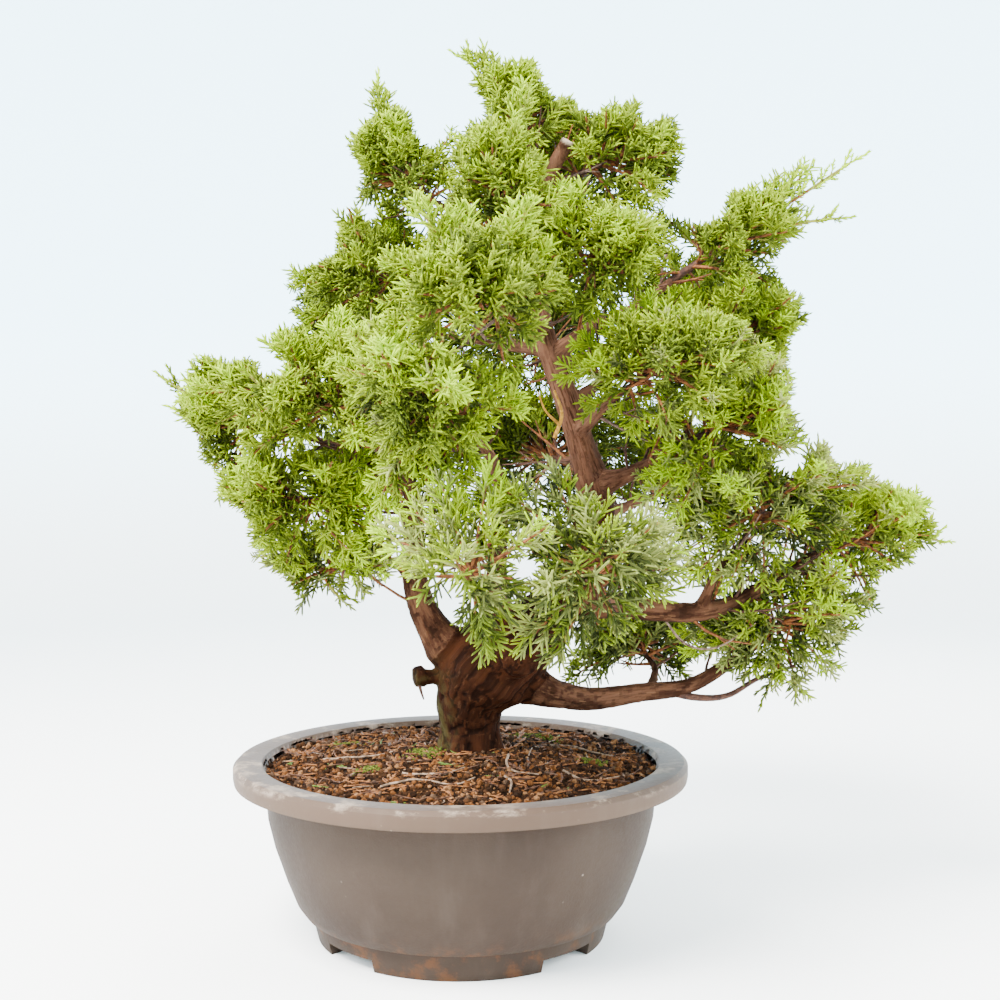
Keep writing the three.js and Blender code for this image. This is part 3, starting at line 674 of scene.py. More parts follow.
BOUGHS = {
    "left_stem": {"on": "trunk", "at": 0.2, "radii": (9.5, 2.2), "via": [(-8, -8, 147), (-20, -12, 168),
        (-24, -13, 191), (-23, -14, 215), (-30, -22, 237), (-38, -36, 255)]},
    "left_hem": {"on": "left_stem", "at": 0.42, "radii": (2.6, 1.8), "via": [(-34, -6, 188), (-43, 0, 186)]},
    "left_low": {"on": "left_stem", "at": 0.64, "radii": (2.4, 1.7),
        "via": [(-34, -16, 217), (-47, -18, 219)]},
    "far_left": {"on": "left_stem", "at": 0.77, "radii": (2.8, 1.7), "via": [(-57, 0, 244), (-86, 0, 254)]},
    "back_low_left": {"on": "left_stem", "at": 0.55, "radii": (3, 1.8),
        "via": [(-29, 25, 206), (-39, 60, 220)]},
    "middle_stem": {"on": "trunk", "at": 0.25, "radii": (7, 2), "via": [(19, -14, 163), (18, -19, 182),
        (19, -25, 200), (20, -38, 224), (15, -64, 241), (5, -90, 253)]},
    "low_front_left": {"on": "middle_stem", "at": 0.5, "radii": (2.8, 1.8),
        "via": [(13, -62, 196), (9, -98, 195)]},
    "right_low_bough": {"on": "trunk", "at": 0.2, "radii": (9, 3.2), "via": [(32, -5, 127), (46, -5, 121.5),
        (66, 0, 117.5), (92, 5, 120), (118, 8, 123), (142, 8, 137)]},
    "under_right": {"on": "right_low_bough", "at": 0.7, "radii": (2.2, 1.6),
        "via": [(102, 24, 129), (100, 38, 133)]},
    "right_bough": {"on": "trunk", "at": 0.4, "radii": (7.5, 2.4), "via": [(81, -5, 166), (100, -10, 164),
        (121, -8, 163), (142, -5, 169), (166, 0, 183), (180, 1, 191)]},
    "right_low": {"on": "right_bough", "at": 0.5, "radii": (2.8, 1.8),
        "via": [(127, -15, 181), (137, -18, 195)]},
    "low_front_right": {"on": "right_bough", "at": 0.2, "radii": (2.8, 1.8),
        "via": [(73, -45, 172), (66, -80, 179)]},
    "right_lower_front": {"on": "trunk", "at": 0.55, "radii": (5.2, 2.2),
        "via": [(81, -5, 231), (94, -20, 238), (107, -30, 246)]},
    "back_low_right": {"on": "trunk", "at": 0.515, "radii": (4.2, 2), "via": [(85, 42, 214), (106, 76, 220)]},
    "back_centre": {"on": "trunk", "at": 0.58, "radii": (3.4, 1.9), "via": [(58, 25, 240), (52, 48, 241)]},
    "right_front": {"on": "trunk", "at": 0.61, "radii": (3.4, 1.9), "via": [(69, -25, 263), (77, -50, 271)]},
    "right_middle": {"on": "trunk", "at": 0.645, "radii": (3.2, 1.8), "via": [(82, 15, 287), (109, 14, 301)]},
    "back_mid": {"on": "trunk", "at": 0.67, "radii": (3.4, 1.9), "via": [(46, 50, 293), (43, 104, 306)]},
    "back_right": {"on": "trunk", "at": 0.695, "radii": (3.4, 1.9), "via": [(74, 40, 300), (102, 70, 313)]},
    "right_upper": {"on": "trunk", "at": 0.71, "radii": (4.4, 2.2),
        "via": [(55, -2, 299), (68, -5, 308), (88, -5, 317), (107, -3, 331)]},
    "back_left": {"on": "trunk", "at": 0.725, "radii": (3.2, 1.8), "via": [(20, 35, 302), (-15, 64, 311)]},
    "front_crown": {"on": "trunk", "at": 0.76, "radii": (3.2, 1.8), "via": [(32, -45, 305), (22, -90, 304)]},
    "upper_left": {"on": "trunk", "at": 0.785, "radii": (3.2, 1.9), "via": [(15, 5, 326), (-11, 8, 331)]},
    "crown_right_front": {"on": "trunk", "at": 0.815, "radii": (2.6, 1.7),
        "via": [(45, -20, 331), (54, -37, 332)]},
    "upper_front": {"on": "trunk", "at": 0.845, "radii": (2.5, 1.6), "via": [(33, -28, 342), (26, -58, 342)]},
    "back_top": {"on": "trunk", "at": 0.875, "radii": (2.4, 1.6), "via": [(41, 30, 371), (43, 54, 384)]},
    "top_left": {"on": "trunk", "at": 0.895, "radii": (2.4, 1.6), "via": [(10, -5, 362), (-11, -10, 368)]},
    "top_right": {"on": "trunk", "at": 0.92, "radii": (2.4, 1.7), "via": [(45, 8, 381), (56, 13, 387)]},
}
PLAIN_MASS = {"grey": 0.0, "rise": 0.4, "tails": 30, "loose": False, "tips": [], "tufts": []}
# Tones are partly painted shade: the masses at the back and under_right are toned darker for the shade they
# lie in.
MASS_ROWS = [
    {"name": "apex", "on": "trunk", "centre": (28, 5, 416), "size": (29, 30, 28), "tone": 3.2,
        "tips": [(-5, 5, 453)], "tufts": [(9, 5, 443), (50, 5, 420)]},
    {"name": "top_left", "on": "top_left", "centre": (-29, -15, 381), "size": (31, 32, 33), "tone": 3.0,
        "tips": [(-43, -10, 436), (-65, -10, 402)],
        "tufts": [(-40, -13, 418), (-53, -15, 390), (-52, -15, 376)]},
    {"name": "top_right", "on": "top_right", "centre": (81, 15, 396), "size": (35, 34, 34), "tone": 3.1,
        "tufts": [(104, 15, 408), (87, 15, 418), (110, 15, 388), (58, 15, 412)]},
    {"name": "back_top", "on": "back_top", "centre": (45, 78, 402), "size": (43, 34, 41), "tone": 2.2},
    {"name": "upper_front", "on": "upper_front", "centre": (19, -78, 358), "size": (24, 26, 36),
        "tone": 2.8, "tufts": [(10, -78, 402), (30, -78, 398)]},
    {"name": "upper_left", "on": "upper_left", "centre": (-42, 8, 334), "size": (43, 39, 35), "tone": 3.1,
        "tufts": [(-84, 8, 331), (-66, 8, 349), (-78, 8, 310)]},
    {"name": "crown_right_front", "on": "crown_right_front", "centre": (66, -60, 334), "size": (35, 32, 25),
        "tone": 3.1, "tufts": [(58, -50, 314), (72, -44, 318)]},
    {"name": "front_crown", "on": "front_crown", "centre": (11, -125, 304), "size": (36, 39, 32),
        "tone": 2.9, "tufts": [(-12, -125, 340), (30, -125, 340), (-22, -125, 318)]},
    {"name": "right_upper", "on": "right_upper", "centre": (137, 0, 351), "size": (48, 37, 26), "tone": 3.4,
        "tips": [(207, 0, 397), (201, 0, 365)], "tufts": [(172, 0, 383), (160, 0, 374)]},
    {"name": "right_middle", "on": "right_middle", "centre": (142, 15, 305), "size": (40, 37, 28),
        "tone": 3.1, "tips": [(216, 10, 310)], "tufts": [(181, 15, 279), (170, 15, 330)]},
    {"name": "right_front", "on": "right_front", "centre": (98, -72, 282), "size": (43, 37, 26),
        "tone": 3.2, "grey": 0.1, "tufts": [(54, -50, 280), (64, -56, 264), (60, -54, 292)]},
    {"name": "right_lower_front", "on": "right_lower_front", "centre": (128, -38, 256),
        "size": (40, 34, 25), "tone": 3.5, "grey": 0.3,
        "tufts": [(166, -38, 262), (104, -44, 214), (112, -48, 204), (92, -48, 222)]},
    {"name": "back_left", "on": "back_left", "centre": (-54, 90, 319), "size": (50, 41, 43), "tone": 2.0},
    {"name": "back_mid", "on": "back_mid", "centre": (38, 135, 319), "size": (52, 39, 44), "tone": 1.9},
    {"name": "back_right", "on": "back_right", "centre": (133, 95, 326), "size": (50, 41, 42), "tone": 2.2},
    {"name": "left_middle", "on": "left_stem", "centre": (-66, -52, 270), "size": (46, 41, 32), "tone": 3.3},
    {"name": "far_left", "on": "far_left", "centre": (-113, -2, 258), "size": (30, 37, 34), "tone": 3.2,
        "tips": [(-157, 0, 285), (-151, 0, 267)], "tufts": [(-140, -2, 248), (-131, -2, 228)]},
    {"name": "left_low", "on": "left_low", "centre": (-82, -22, 219), "size": (41, 39, 30), "tone": 3.4,
        "tufts": [(-118, -22, 214), (-108, -22, 198), (-44, -42, 226), (-42, -40, 206), (-52, -45, 196),
        (-34, -44, 216)]},
    {"name": "left_hem", "on": "left_hem", "centre": (-70, 4, 184), "size": (31, 30, 19), "tone": 3.3,
        "grey": 0.4, "rise": 0.0, "tails": 20, "tips": [(-57, 5, 160)],
        "tufts": [(-104, 4, 182), (-96, 4, 168), (-36, -30, 200), (-38, -30, 188)]},
    {"name": "centre_left", "on": "middle_stem", "centre": (-12, -112, 264), "size": (31, 37, 28),
        "tone": 3.3, "grey": 0.04, "rise": 0.1,
        "tufts": [(-25, -100, 235), (-12, -105, 228), (5, -100, 238), (0, -100, 225), (-32, -90, 224)]},
    {"name": "low_front_left", "on": "low_front_left", "centre": (8, -132, 190), "size": (26, 38, 30),
        "tone": 2.9, "grey": 0.4, "rise": -0.25, "tails": 15, "loose": True, "tufts": [(-4, -118, 226),
        (14, -122, 228), (26, -118, 220), (-16, -112, 216), (-30, -100, 206), (14, -128, 164),
        (10, -130, 174)]},
    {"name": "low_front_right", "on": "low_front_right", "centre": (61, -112, 191), "size": (40, 39, 33),
        "tone": 2.9, "grey": 0.7, "rise": -0.25, "tails": 20, "loose": True, "tufts": [(96, -84, 190),
        (88, -92, 208), (44, -112, 228), (45, -112, 158), (92, -70, 180), (100, -60, 196), (34, -112, 164)]},
    {"name": "right_low", "on": "right_low", "centre": (152, -20, 218), "size": (47, 37, 32), "tone": 3.3,
        "grey": 0.45, "tips": [(195, -10, 250)], "tufts": [(114, -28, 197), (118, -26, 186),
        (134, -26, 182), (150, -22, 180), (180, -18, 205), (184, -15, 188), (106, -30, 206)]},
    {"name": "far_right", "on": "right_bough", "centre": (206, 2, 200), "size": (35, 37, 32), "tone": 3.7,
        "grey": 0.04, "tips": [(256, 5, 198)],
        "tufts": [(232, 2, 214), (214, 2, 232), (176, 0, 215), (180, 2, 186)]},
    {"name": "right_hem", "on": "right_low_bough", "centre": (168, 5, 160), "size": (47, 37, 31),
        "tone": 3.2, "grey": 0.45, "rise": -0.05, "tails": 31, "tips": [(153, 0, 111)],
        "tufts": [(188, 5, 134), (202, 5, 144), (172, 5, 124), (126, 6, 156), (124, 10, 143), (145, 0, 138),
        (132, 4, 148), (138, 2, 141), (150, 4, 134), (120, 14, 151), (162, 0, 130)]},
    {"name": "under_right", "on": "under_right", "centre": (97, 54, 141), "size": (34, 25, 20), "tone": 2.0,
        "grey": 0.4, "rise": 0.1, "tufts": [(60, 36, 124), (66, 40, 133), (116, 44, 128)]},
    {"name": "back_low_left", "on": "back_low_left", "centre": (-53, 92, 235), "size": (49, 41, 37),
        "tone": 1.9},
    {"name": "back_low_right", "on": "back_low_right", "centre": (132, 105, 227), "size": (48, 41, 38),
        "tone": 2.1},
    {"name": "back_centre", "on": "back_centre", "centre": (46, 86, 245), "size": (54, 41, 41), "tone": 1.6},
]
MASSES = [{**PLAIN_MASS, **row} for row in MASS_ROWS]
print(len(BOUGHS), "boughs and", len(MASSES), "masses")


# %% Curves
NEARBY = 1e-4


def catmull(points):
    """A smooth curve through points, by Catmull and Rom's rule with an even parameter."""
    rows = np.array(points, float)
    rows = np.vstack([2 * rows[0] - rows[1], rows, 2 * rows[-1] - rows[-2]])
    last = len(rows) - 4

    def at(t):
        place = np.clip(np.asarray(t, float), 0, 1) * (len(rows) - 3)
        index = np.minimum(place.astype(int), last)
        u = (place - index)[..., None]
        a, b, c, d = (rows[index + k] for k in range(4))
        return b + 0.5 * u * (c - a + u * (2 * a - 5 * b + 4 * c - d + u * (3 * (b - c) + d - a)))

    return at


def bezier(*points):
    """A Bezier curve by its control points."""
    rows = np.array(points, float)
    order = len(rows) - 1

    def at(t):
        t = np.asarray(t, float)[..., None]
        return sum(math.comb(order, k) * t**k * (1 - t) ** (order - k) * rows[k] for k in range(order + 1))

    return at


def tangent(curve, t):
    """The direction of a curve at one place."""
    low, high = np.clip([t - NEARBY, t + NEARBY], 0, 1)
    step = curve(high) - curve(low)
    return step / np.linalg.norm(step, axis=-1, keepdims=True)


def run_along(points):
    """How far along a line each of its points lies."""
    return np.concatenate([[0], np.cumsum(np.linalg.norm(np.diff(points, axis=0), axis=1))])


def length_of(curve, steps=24):
    points = curve(np.linspace(0, 1, steps))
    return float(np.linalg.norm(np.diff(points, axis=0), axis=1).sum())


def radius_at(radii, t):
    return np.interp(t, np.linspace(0, 1, len(radii)), radii)


LIMBS = {"trunk": {"curve": catmull([row[:3] for row in TRUNK]), "radii": [row[3] for row in TRUNK]}}
for name, bough in BOUGHS.items():
    start = LIMBS[bough["on"]]["curve"](bough["at"])
    LIMBS[name] = {"curve": catmull([start, *bough["via"]]), "radii": bough["radii"]}
print("trunk is", round(length_of(LIMBS["trunk"]["curve"])), "mm long")

# %% [markdown]
# ## Bark over all the limbs at once
#
# A real fork has no seam, but tubes that only overlap show one. So tubes are laid along every curve and
# thickened at their roots, and one voxel remesh melts them into a single skin. It costs many small faces,
# and it works for any fork, however the limbs meet.

# %% One skin
VOXEL = 1.0
SMOOTHING = {"factor": 0.5, "times": 4}
SWELL = {"share": 0.45, "reach": 7.0}
FLARE = {"top": (8, 112), "bend": (12.8, 96), "bottom": 82, "radius": 6.0}
STEP = {"tube": 4, "sample": 2, "fewest": 8}  # along a limb, in mm


def limb_rows(name):
    """Points and radii along a limb, swollen where it leaves its parent."""
    limb = LIMBS[name]
    count = max(STEP["fewest"], int(length_of(limb["curve"]) / STEP["tube"]))
    t = np.linspace(0, 1, count)
    points = limb["curve"](t)
    radii = radius_at(limb["radii"], t)
    if name in BOUGHS:
        far = run_along(points)
        parent = LIMBS[BOUGHS[name]["on"]]
        buried = radius_at(parent["radii"], BOUGHS[name]["at"])
        radii = radii * (1 + SWELL["share"] * np.exp(-np.maximum(far - buried, 0) / SWELL["reach"]))
    return points, radii


def tubes(name, rows, finishes=(), roundness=0):
    """One mesh of closed tubes. Each row is a line's points, its radii and the number of its material."""
    lines = bpy.data.curves.new(name, "CURVE")
    lines.dimensions = "3D"
    lines.bevel_depth = MM
    lines.bevel_resolution = roundness
    lines.use_fill_caps = True
    for finish in finishes:
        lines.materials.append(finish.material)
    for points, radii, slot in rows:
        spline = lines.splines.new("POLY")
        spline.points.add(len(points) - 1)
        spline.points.foreach_set("co", np.column_stack([metres(points), np.ones(len(points))]).ravel())
        spline.points.foreach_set("radius", np.asarray(radii, float))
        spline.material_index = slot
    blank = bpy.data.objects.new(name, lines)
    bpy.context.scene.collection.objects.link(blank)
    return settled(blank, name)


limb_lines = [(*limb_rows(name), 0) for name in LIMBS]
for rows in CUT_STUBS.values():
    rows = np.array(rows)
    limb_lines.append((rows[:, :3], rows[:, 3], 0))
foot = np.array(TRUNK[0][:2])
for heading, reach in ROOT_FLARES:
    out = np.array([math.cos(math.radians(heading)), math.sin(math.radians(heading))])
    bends = [FLARE["top"], FLARE["bend"], (reach, FLARE["bottom"])]
    root = bezier(*[(*(foot + out * far), height) for far, height in bends])
    t = np.linspace(0, 1, 8)
    limb_lines.append((root(t), FLARE["radius"] * (0.8 + 0.2 * t), 0))
blank = tubes("limb_blank", limb_lines, roundness=4)
melt = blank.modifiers.new("melt", "REMESH")
melt.mode = "VOXEL"
melt.voxel_size = VOXEL * MM
smooth = blank.modifiers.new("smooth", "SMOOTH")
smooth.factor = SMOOTHING["factor"]
smooth.iterations = SMOOTHING["times"]
limbs = settled(blank, "trunk_and_boughs")
print("skin:", triangles(limbs), "triangles")

# %% [markdown]
# ### Where each point lies on its limb
#
# Bark runs along a limb and bends with it. A pattern in plain space would cut straight through each bend,
# so this one needs each point's place along and around the nearest limb. That place is worked out once,
# stored on the mesh as an attribute, and read by both the relief and the material.


# %% Along and around
AT_ONCE = 4000  # points measured at once
LIMB_GAP = 137.0  # keeps the patterns of two limbs apart


def carried_frames(points):
    """A side and an up direction at each point of a line, turned as little as can be between them."""
    steps = np.gradient(points, axis=0)
    steps /= np.linalg.norm(steps, axis=1, keepdims=True)
    side = np.cross(steps[0], [0.0, 1.0, 0.1])
    sides = []
    for step in steps:
        side = side - step * side.dot(step)
        side = side / np.linalg.norm(side)
        sides.append(side)
    sides = np.array(sides)
    return sides, np.cross(steps, sides)


samples = {"point": [], "radius": [], "along": [], "side": [], "up": [], "limb": []}
for number, name in enumerate(LIMBS):
    curve = LIMBS[name]["curve"]
    shares = np.linspace(0, 1, max(STEP["fewest"], int(length_of(curve) / STEP["sample"])))
    points = curve(shares)
    sides, ups = carried_frames(points)
    samples["point"].append(points)
    samples["radius"].append(radius_at(LIMBS[name]["radii"], shares))
    samples["along"].append(run_along(points))
    samples["side"].append(sides)
    samples["up"].append(ups)
    samples["limb"].append(np.full(len(points), number))
samples = {key: np.concatenate(value) for key, value in samples.items()}

skin = np.empty(3 * len(limbs.data.vertices))
limbs.data.vertices.foreach_get("co", skin)
skin = (skin.reshape(-1, 3) - AXIS) / MM
nearest = []
for begin in range(0, len(skin), AT_ONCE):
    part = skin[begin:begin + AT_ONCE]
    gaps = np.linalg.norm(part[:, None] - samples["point"][None], axis=2) - samples["radius"]
    nearest.append(gaps.argmin(axis=1))
nearest = np.concatenate(nearest)
offset = skin - samples["point"][nearest]
around = np.stack([(offset * samples[key][nearest]).sum(axis=1) for key in ("side", "up")], axis=1)
bark_place = np.column_stack([around, samples["along"][nearest] + LIMB_GAP * samples["limb"][nearest]])
limb_radius = samples["radius"][nearest]
print("placed", len(skin), "points on", len(samples["point"]), "samples")

# %% [markdown]
# ### Relief and colours of the bark
#
# A juniper's old bark is dark red-brown and splits into long plates. A bump in the material bends only the
# light and would leave the trunk's outline smooth, so the skin's own points move. Their relief is thin
# fibres, lumps, seams between the plates, and coarser lumps on the swollen knuckle. The bump is left for
# what is finer.
#
# The colour keeps to the same places. Fibres are dark, and the seams are nearly black: partly the bark's own
# dark colour and partly painted shade in the cracks. Thin limbs are weathered and have pale flakes, the
# middle of the trunk above the boughs is bleached, moss grows on the left of the foot, and sawn-off ends
# show pale wood.

# %% Relief of the bark
FIBRE = {"size": (1.8, 1.8, 10), "shift": (0, 0, 5), "height": 0.2}
LUMP = {"size": (11, 11, 15), "shift": (9, 0, 0), "height": 0.35, "on_knuckle": 1.3}
PLATE = {"size": (12, 12, 26), "bend_size": (5, 5, 5), "bend": 0.35, "seam": 0.1, "depth": 0.6}
ROUGH = {"full": 10, "most": 1.3}  # the radius of a limb with full relief, and the most relief
KNUCKLE = {"centre": np.array([20, -6, 138]), "reach": 34.0}
CUT_FACES = [{"place": (54, -7, 401), "reach": 4.2}, {"place": (27, -36, 150), "reach": 3.4}]
CUT_EDGE = 0.8
WEATHERED = {"thick": 11.0, "range": 5.0}

normals = np.empty(3 * len(skin))
limbs.data.vertices.foreach_get("normal", normals)
normals = normals.reshape(-1, 3)


def bark_noise(place, size, shift=(0, 0, 0)):
    """Smooth noise from -1 to 1, whose waves have a given size in mm."""
    return noise.noise(Vector([at / width + by for at, width, by in zip(place, size, shift)]))


def bark_relief(place, radius, knuckle):
    """How far a point of the skin stands out, in mm, and how deep in a seam it lies."""
    fibre = bark_noise(place, FIBRE["size"], FIBRE["shift"])
    lump = bark_noise(place, LUMP["size"], LUMP["shift"])
    bent = PLATE["bend"] * bark_noise(place, PLATE["bend_size"])
    x, y, z = (at / width for at, width in zip(place, PLATE["size"]))
    far = noise.voronoi(Vector((x + bent, y - bent, z + bent)))[0]
    seam = max(1 - (far[1] - far[0]) / PLATE["seam"], 0)
    rough = min(radius / ROUGH["full"], ROUGH["most"])
    relief = FIBRE["height"] * fibre + LUMP["height"] * lump - PLATE["depth"] * seam
    return rough * relief + knuckle * LUMP["on_knuckle"] * lump, rough * seam


near = np.clip(1 - np.linalg.norm(skin - KNUCKLE["centre"], axis=1) / KNUCKLE["reach"], 0, 1)
depth, crack = np.array([bark_relief(*row) for row in zip(bark_place, limb_radius, near)]).T
skin = skin + normals * depth[:, None]
limbs.data.vertices.foreach_set("co", metres(skin).ravel())
limbs.data.attributes.new("bark", "FLOAT_VECTOR", "POINT").data.foreach_set("vector", bark_place.ravel())
limbs.data.attributes.new("crack", "FLOAT", "POINT").data.foreach_set("value", crack)
cut_wood = np.zeros(len(skin))
for cut_face in CUT_FACES:
    far = np.linalg.norm(skin - cut_face["place"], axis=1)
    cut_wood = np.maximum(cut_wood, np.clip((cut_face["reach"] - far) / CUT_EDGE, 0, 1))
limbs.data.attributes.new("cut_wood", "FLOAT", "POINT").data.foreach_set("value", cut_wood)
weathered = np.clip((WEATHERED["thick"] - limb_radius) / WEATHERED["range"], 0, 1)
limbs.data.attributes.new("weathered", "FLOAT", "POINT").data.foreach_set("value", weathered)
limbs.data.update()
limbs.data.shade_smooth()
print("relief from", depth.min().round(2), "to", depth.max().round(2), "mm")

# %% Bark
BARK = {
    "dark": (0.0085, 0.0026, 0.001),
    "light": (0.03, 0.0092, 0.0032),
    "weathered_dark": (0.026, 0.0104, 0.0052),
    "weathered_light": (0.082, 0.036, 0.0185),
    "flakes": (0.15, 0.07, 0.034),
    "fibres": (0.008, 0.003, 0.0016),
    "seams_and_shade": (0.003, 0.0013, 0.0008),
    "bleached": (0.17, 0.078, 0.045),
    "moss": (0.05, 0.045, 0.014),
    "cut_wood": (0.42, 0.3, 0.2),
}

bark = Finish("bark", (0.04, 0.014, 0.006), 0.9, 0.03)
place = bark.stored("bark")
fibres = bark.clouds(bark.stretched(place, (0.9, 0.9, 0.09)), 1.0, 5, 0.65)
plates = bark.clouds(bark.stretched(place, (0.16, 0.16, 0.05)), 1.0, 4, 0.6)
flakes = bark.clouds(bark.stretched(place, (0.5, 0.5, 0.12)), 1.0, 4, 0.6)
crack = bark.stored("crack", "Fac")
cut_wood = bark.stored("cut_wood", "Fac")
greyness = bark.stored("weathered", "Fac")
color = bark.mix(plates.between(0.3, 0.7), BARK["dark"], BARK["light"])
paler = bark.mix(plates.between(0.4, 0.6), BARK["weathered_dark"], BARK["weathered_light"])
color = bark.mix(greyness, color, paler)
color = bark.mix(flakes.between(0.56, 0.7) * (0.14 + greyness * 0.3), color, BARK["flakes"])
dark_fibres = (1 - fibres.between(0.25, 0.55)) * (0.3 + greyness * 0.4)
color = bark.mix(dark_fibres, color, BARK["fibres"])
# The seams' near-black is partly the bark's own colour and partly painted shade in the cracks.
color = bark.mix(crack.between(0.1, 0.8) * 0.7, color, BARK["seams_and_shade"])
across, _, high = bark.axes(bark.place())
bleached = high.between(0.19, 0.27) * (1 - high.between(0.33, 0.38))
color = bark.mix(bleached * fibres.between(0.3, 0.6) * 0.5, color, BARK["bleached"])
mossy = (1 - across.between(AXIS[0] - 14 * MM, AXIS[0] + 1 * MM)) * (1 - high.between(0.1, 0.15))
moss_spots = bark.clouds(bark.place(), 160, 4).between(0.4, 0.6)
color = bark.mix(mossy * moss_spots * 0.6, color, BARK["moss"])
color = bark.mix(cut_wood, color, BARK["cut_wood"])
bark.feed("Base Color", color)
bark.feed("Roughness", 0.75 + fibres * 0.2)
bark.bump(fibres + flakes * 0.5, 0.5, 0.8)
dress(limbs, bark)
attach(limbs, "root")
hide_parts("trunk", *["bough_" + name for name in BOUGHS])
print("bark on", len(BOUGHS) + 1, "nodes")

# %% [markdown]
# ## How the crown grows
#
# Shoots could be scattered over a ball by a hair system, but on the plant they stand on twigs that spread
# from one bough, and that is what gives each mass its plumes. So the crown grows by a rule. Each mass keeps
# to its own space: an egg round its centre, nearer to that centre than to any other mass's, and a little
# beyond the egg where that fills the gap towards a neighbour. One stem grows on from the bough's tip. Tails
# leave the stem, spread evenly by a fixed sequence, and run out towards the egg's edge, each to a share of
# the way that chance gives it, so that the edge is uneven. A few run to a long tip or to a tuft. Small
# twigs leave the tails by the golden angle, and sprays of green shoots leave those.
#
# What would leave its space, touch a limb or cover an opening is shortened or skipped. The openings are
# where the photograph shows sky between the masses: ovals in the upright plane through the pot's axis, as
# the camera sees it. The solids grow by the same rule with fewer and broader sprays.

# %% Rule
TURN = 2.399963
STEM = {"bend": 0.4, "overshoot": 0.35, "share": 0.95, "end_radius": 0.9}
TAILS = {
    "tries": 260,
    "aim": 1.3,
    "lift": 8.0,
    "nearest": 0.55,
    "farthest": 1.0,
    "shortest": 0.35,
    "tone": 0.5,
}
EVENLY = {"height": (0.618034, 0.754878), "angle": (0.414214, 0.56984)}
BETWEEN = {"own": 1.5, "other": 1.6}
NO_EDGE = 9.0
# The middle of each opening and its half axes, across and up
OPENINGS = np.array([
    (-16, 424, 12, 26),
    (-2, 430, 9, 14),
    (53, 437, 13, 14),
    (75, 440, 14, 12),
    (119, 369, 17, 9),
    (176, 339, 16, 16),
    (179, 294, 13, 17),
    (181, 270, 15, 13),
    (224, 237, 16, 11),
    (196, 244, 9, 7),
    (230, 172, 19, 15),
    (33, 184, 8, 7),
    (-6, 166, 5, 14),
    (-100, 172, 13, 13),
    (-122, 202, 15, 17),
    (-137, 226, 14, 14),
    (-148, 246, 13, 17),
    (-119, 298, 14, 8),
    (-100, 320, 14, 12),
    (-82, 352, 20, 14),
    (-70, 384, 20, 20),
    (-60, 418, 12, 11),
    (66, 432, 12, 16),
    (168, 238, 8, 6),
    (-97, 288, 8, 6),
    (8, 418, 6, 8),
    (95, 417, 5, 8),
    (124, 385, 14, 16),
    (206, 142, 11, 11),
])
FROM = {"middle": 0.5, "swing": 0.45, "lowest": 0.15, "highest": 0.95, "long_tip": 0.8, "tuft": 0.55}
BOW = {"share": 0.45, "out": 0.12}
LEAN = {"forward": 0.2, "up": 0.1}
SPACE_MARGIN = 0.02
LIMB_MARGIN = 0.8
BEADS_WITHIN = 2.2  # a mass is tested against the limbs this near, in its own sizes
NO_LIMB = 99  # the gap where no limb is near
UP = np.array([0.0, 0.0, 1.0])

CENTRES = np.array([mass["centre"] for mass in MASSES], float)
SIZES = np.array([mass["size"] for mass in MASSES], float)
stub_beads = np.vstack([np.linspace(*np.array(rows, float), 11) for rows in CUT_STUBS.values()])
BEADS = np.vstack([samples["point"], stub_beads[:, :3]])
BEAD_RADII = np.concatenate([samples["radius"], stub_beads[:, 3]])


def unit(rows):
    return rows / (np.linalg.norm(rows, axis=-1, keepdims=True) + TINY)


def reaches(points):
    """How far out each point lies in each mass: 0 at its centre, 1 at its edge."""
    return np.linalg.norm((points[:, None] - CENTRES) / SIZES, axis=2)


def open_sky(points):
    """Whether each point is seen in one of the openings, from the camera."""
    eye = np.array(CAMERA["place"])
    seen = (eye + (points - eye) * (eye[1] / (eye[1] - points[:, 1]))[:, None])[:, (0, 2)]
    return np.any([(((seen - row[:2]) / row[2:]) ** 2).sum(axis=1) < 1 for row in OPENINGS], axis=0)


def fits(index, points, edge=NO_EDGE):
    """Whether each point keeps to the mass's own space and clear of the limbs and the openings."""
    reach = reaches(points)
    own = np.minimum(reach[:, index], 1)
    others = np.delete(reach, index, axis=1).min(axis=1)
    inside = (reach[:, index] < edge) | ((reach[:, index] < BETWEEN["own"]) & (others < BETWEEN["other"]))
    far = np.linalg.norm(BEADS - CENTRES[index], axis=1) - BEAD_RADII
    close = far < SIZES[index].max() * BEADS_WITHIN
    gaps = np.linalg.norm(points[:, None] - BEADS[close], axis=2) - BEAD_RADII[close]
    clear = gaps.min(axis=1, initial=NO_LIMB) > LIMB_MARGIN
    return inside & (others > own + SPACE_MARGIN) & clear & ~open_sky(points)


def spread_direction(seed, number, forward):
    """Directions that fill the sphere evenly as the number rises, leaning outwards and up."""
    shares = [math.modf(seed * first + (number + 0.5) * step)[0] for first, step in EVENLY.values()]
    height = 2 * shares[0] - 1
    angle = 2 * math.pi * shares[1]
    flat = math.sqrt(1 - height * height)
    out = np.array([flat * math.cos(angle), flat * math.sin(angle), height])
    return unit(out + forward * LEAN["forward"] + UP * LEAN["up"])


def turned(rows, about, angle):
    """Directions turned about an axis, by Rodrigues' rule, for many at once."""
    angle = np.asarray(angle)[:, None]
    dot = (rows * about).sum(axis=1, keepdims=True)
    return rows * np.cos(angle) + np.cross(about, rows) * np.sin(angle) + about * dot * (1 - np.cos(angle))


print("margins:", SPACE_MARGIN, "of a mass's size and", LIMB_MARGIN, "mm")


# %% Stems and tails
TESTS = {"all": 22, "skipped": 4}  # along a tail, those by its root left out
LONG_TIP_SPRAY = 11.0  # the length of the spray that ends a long tip


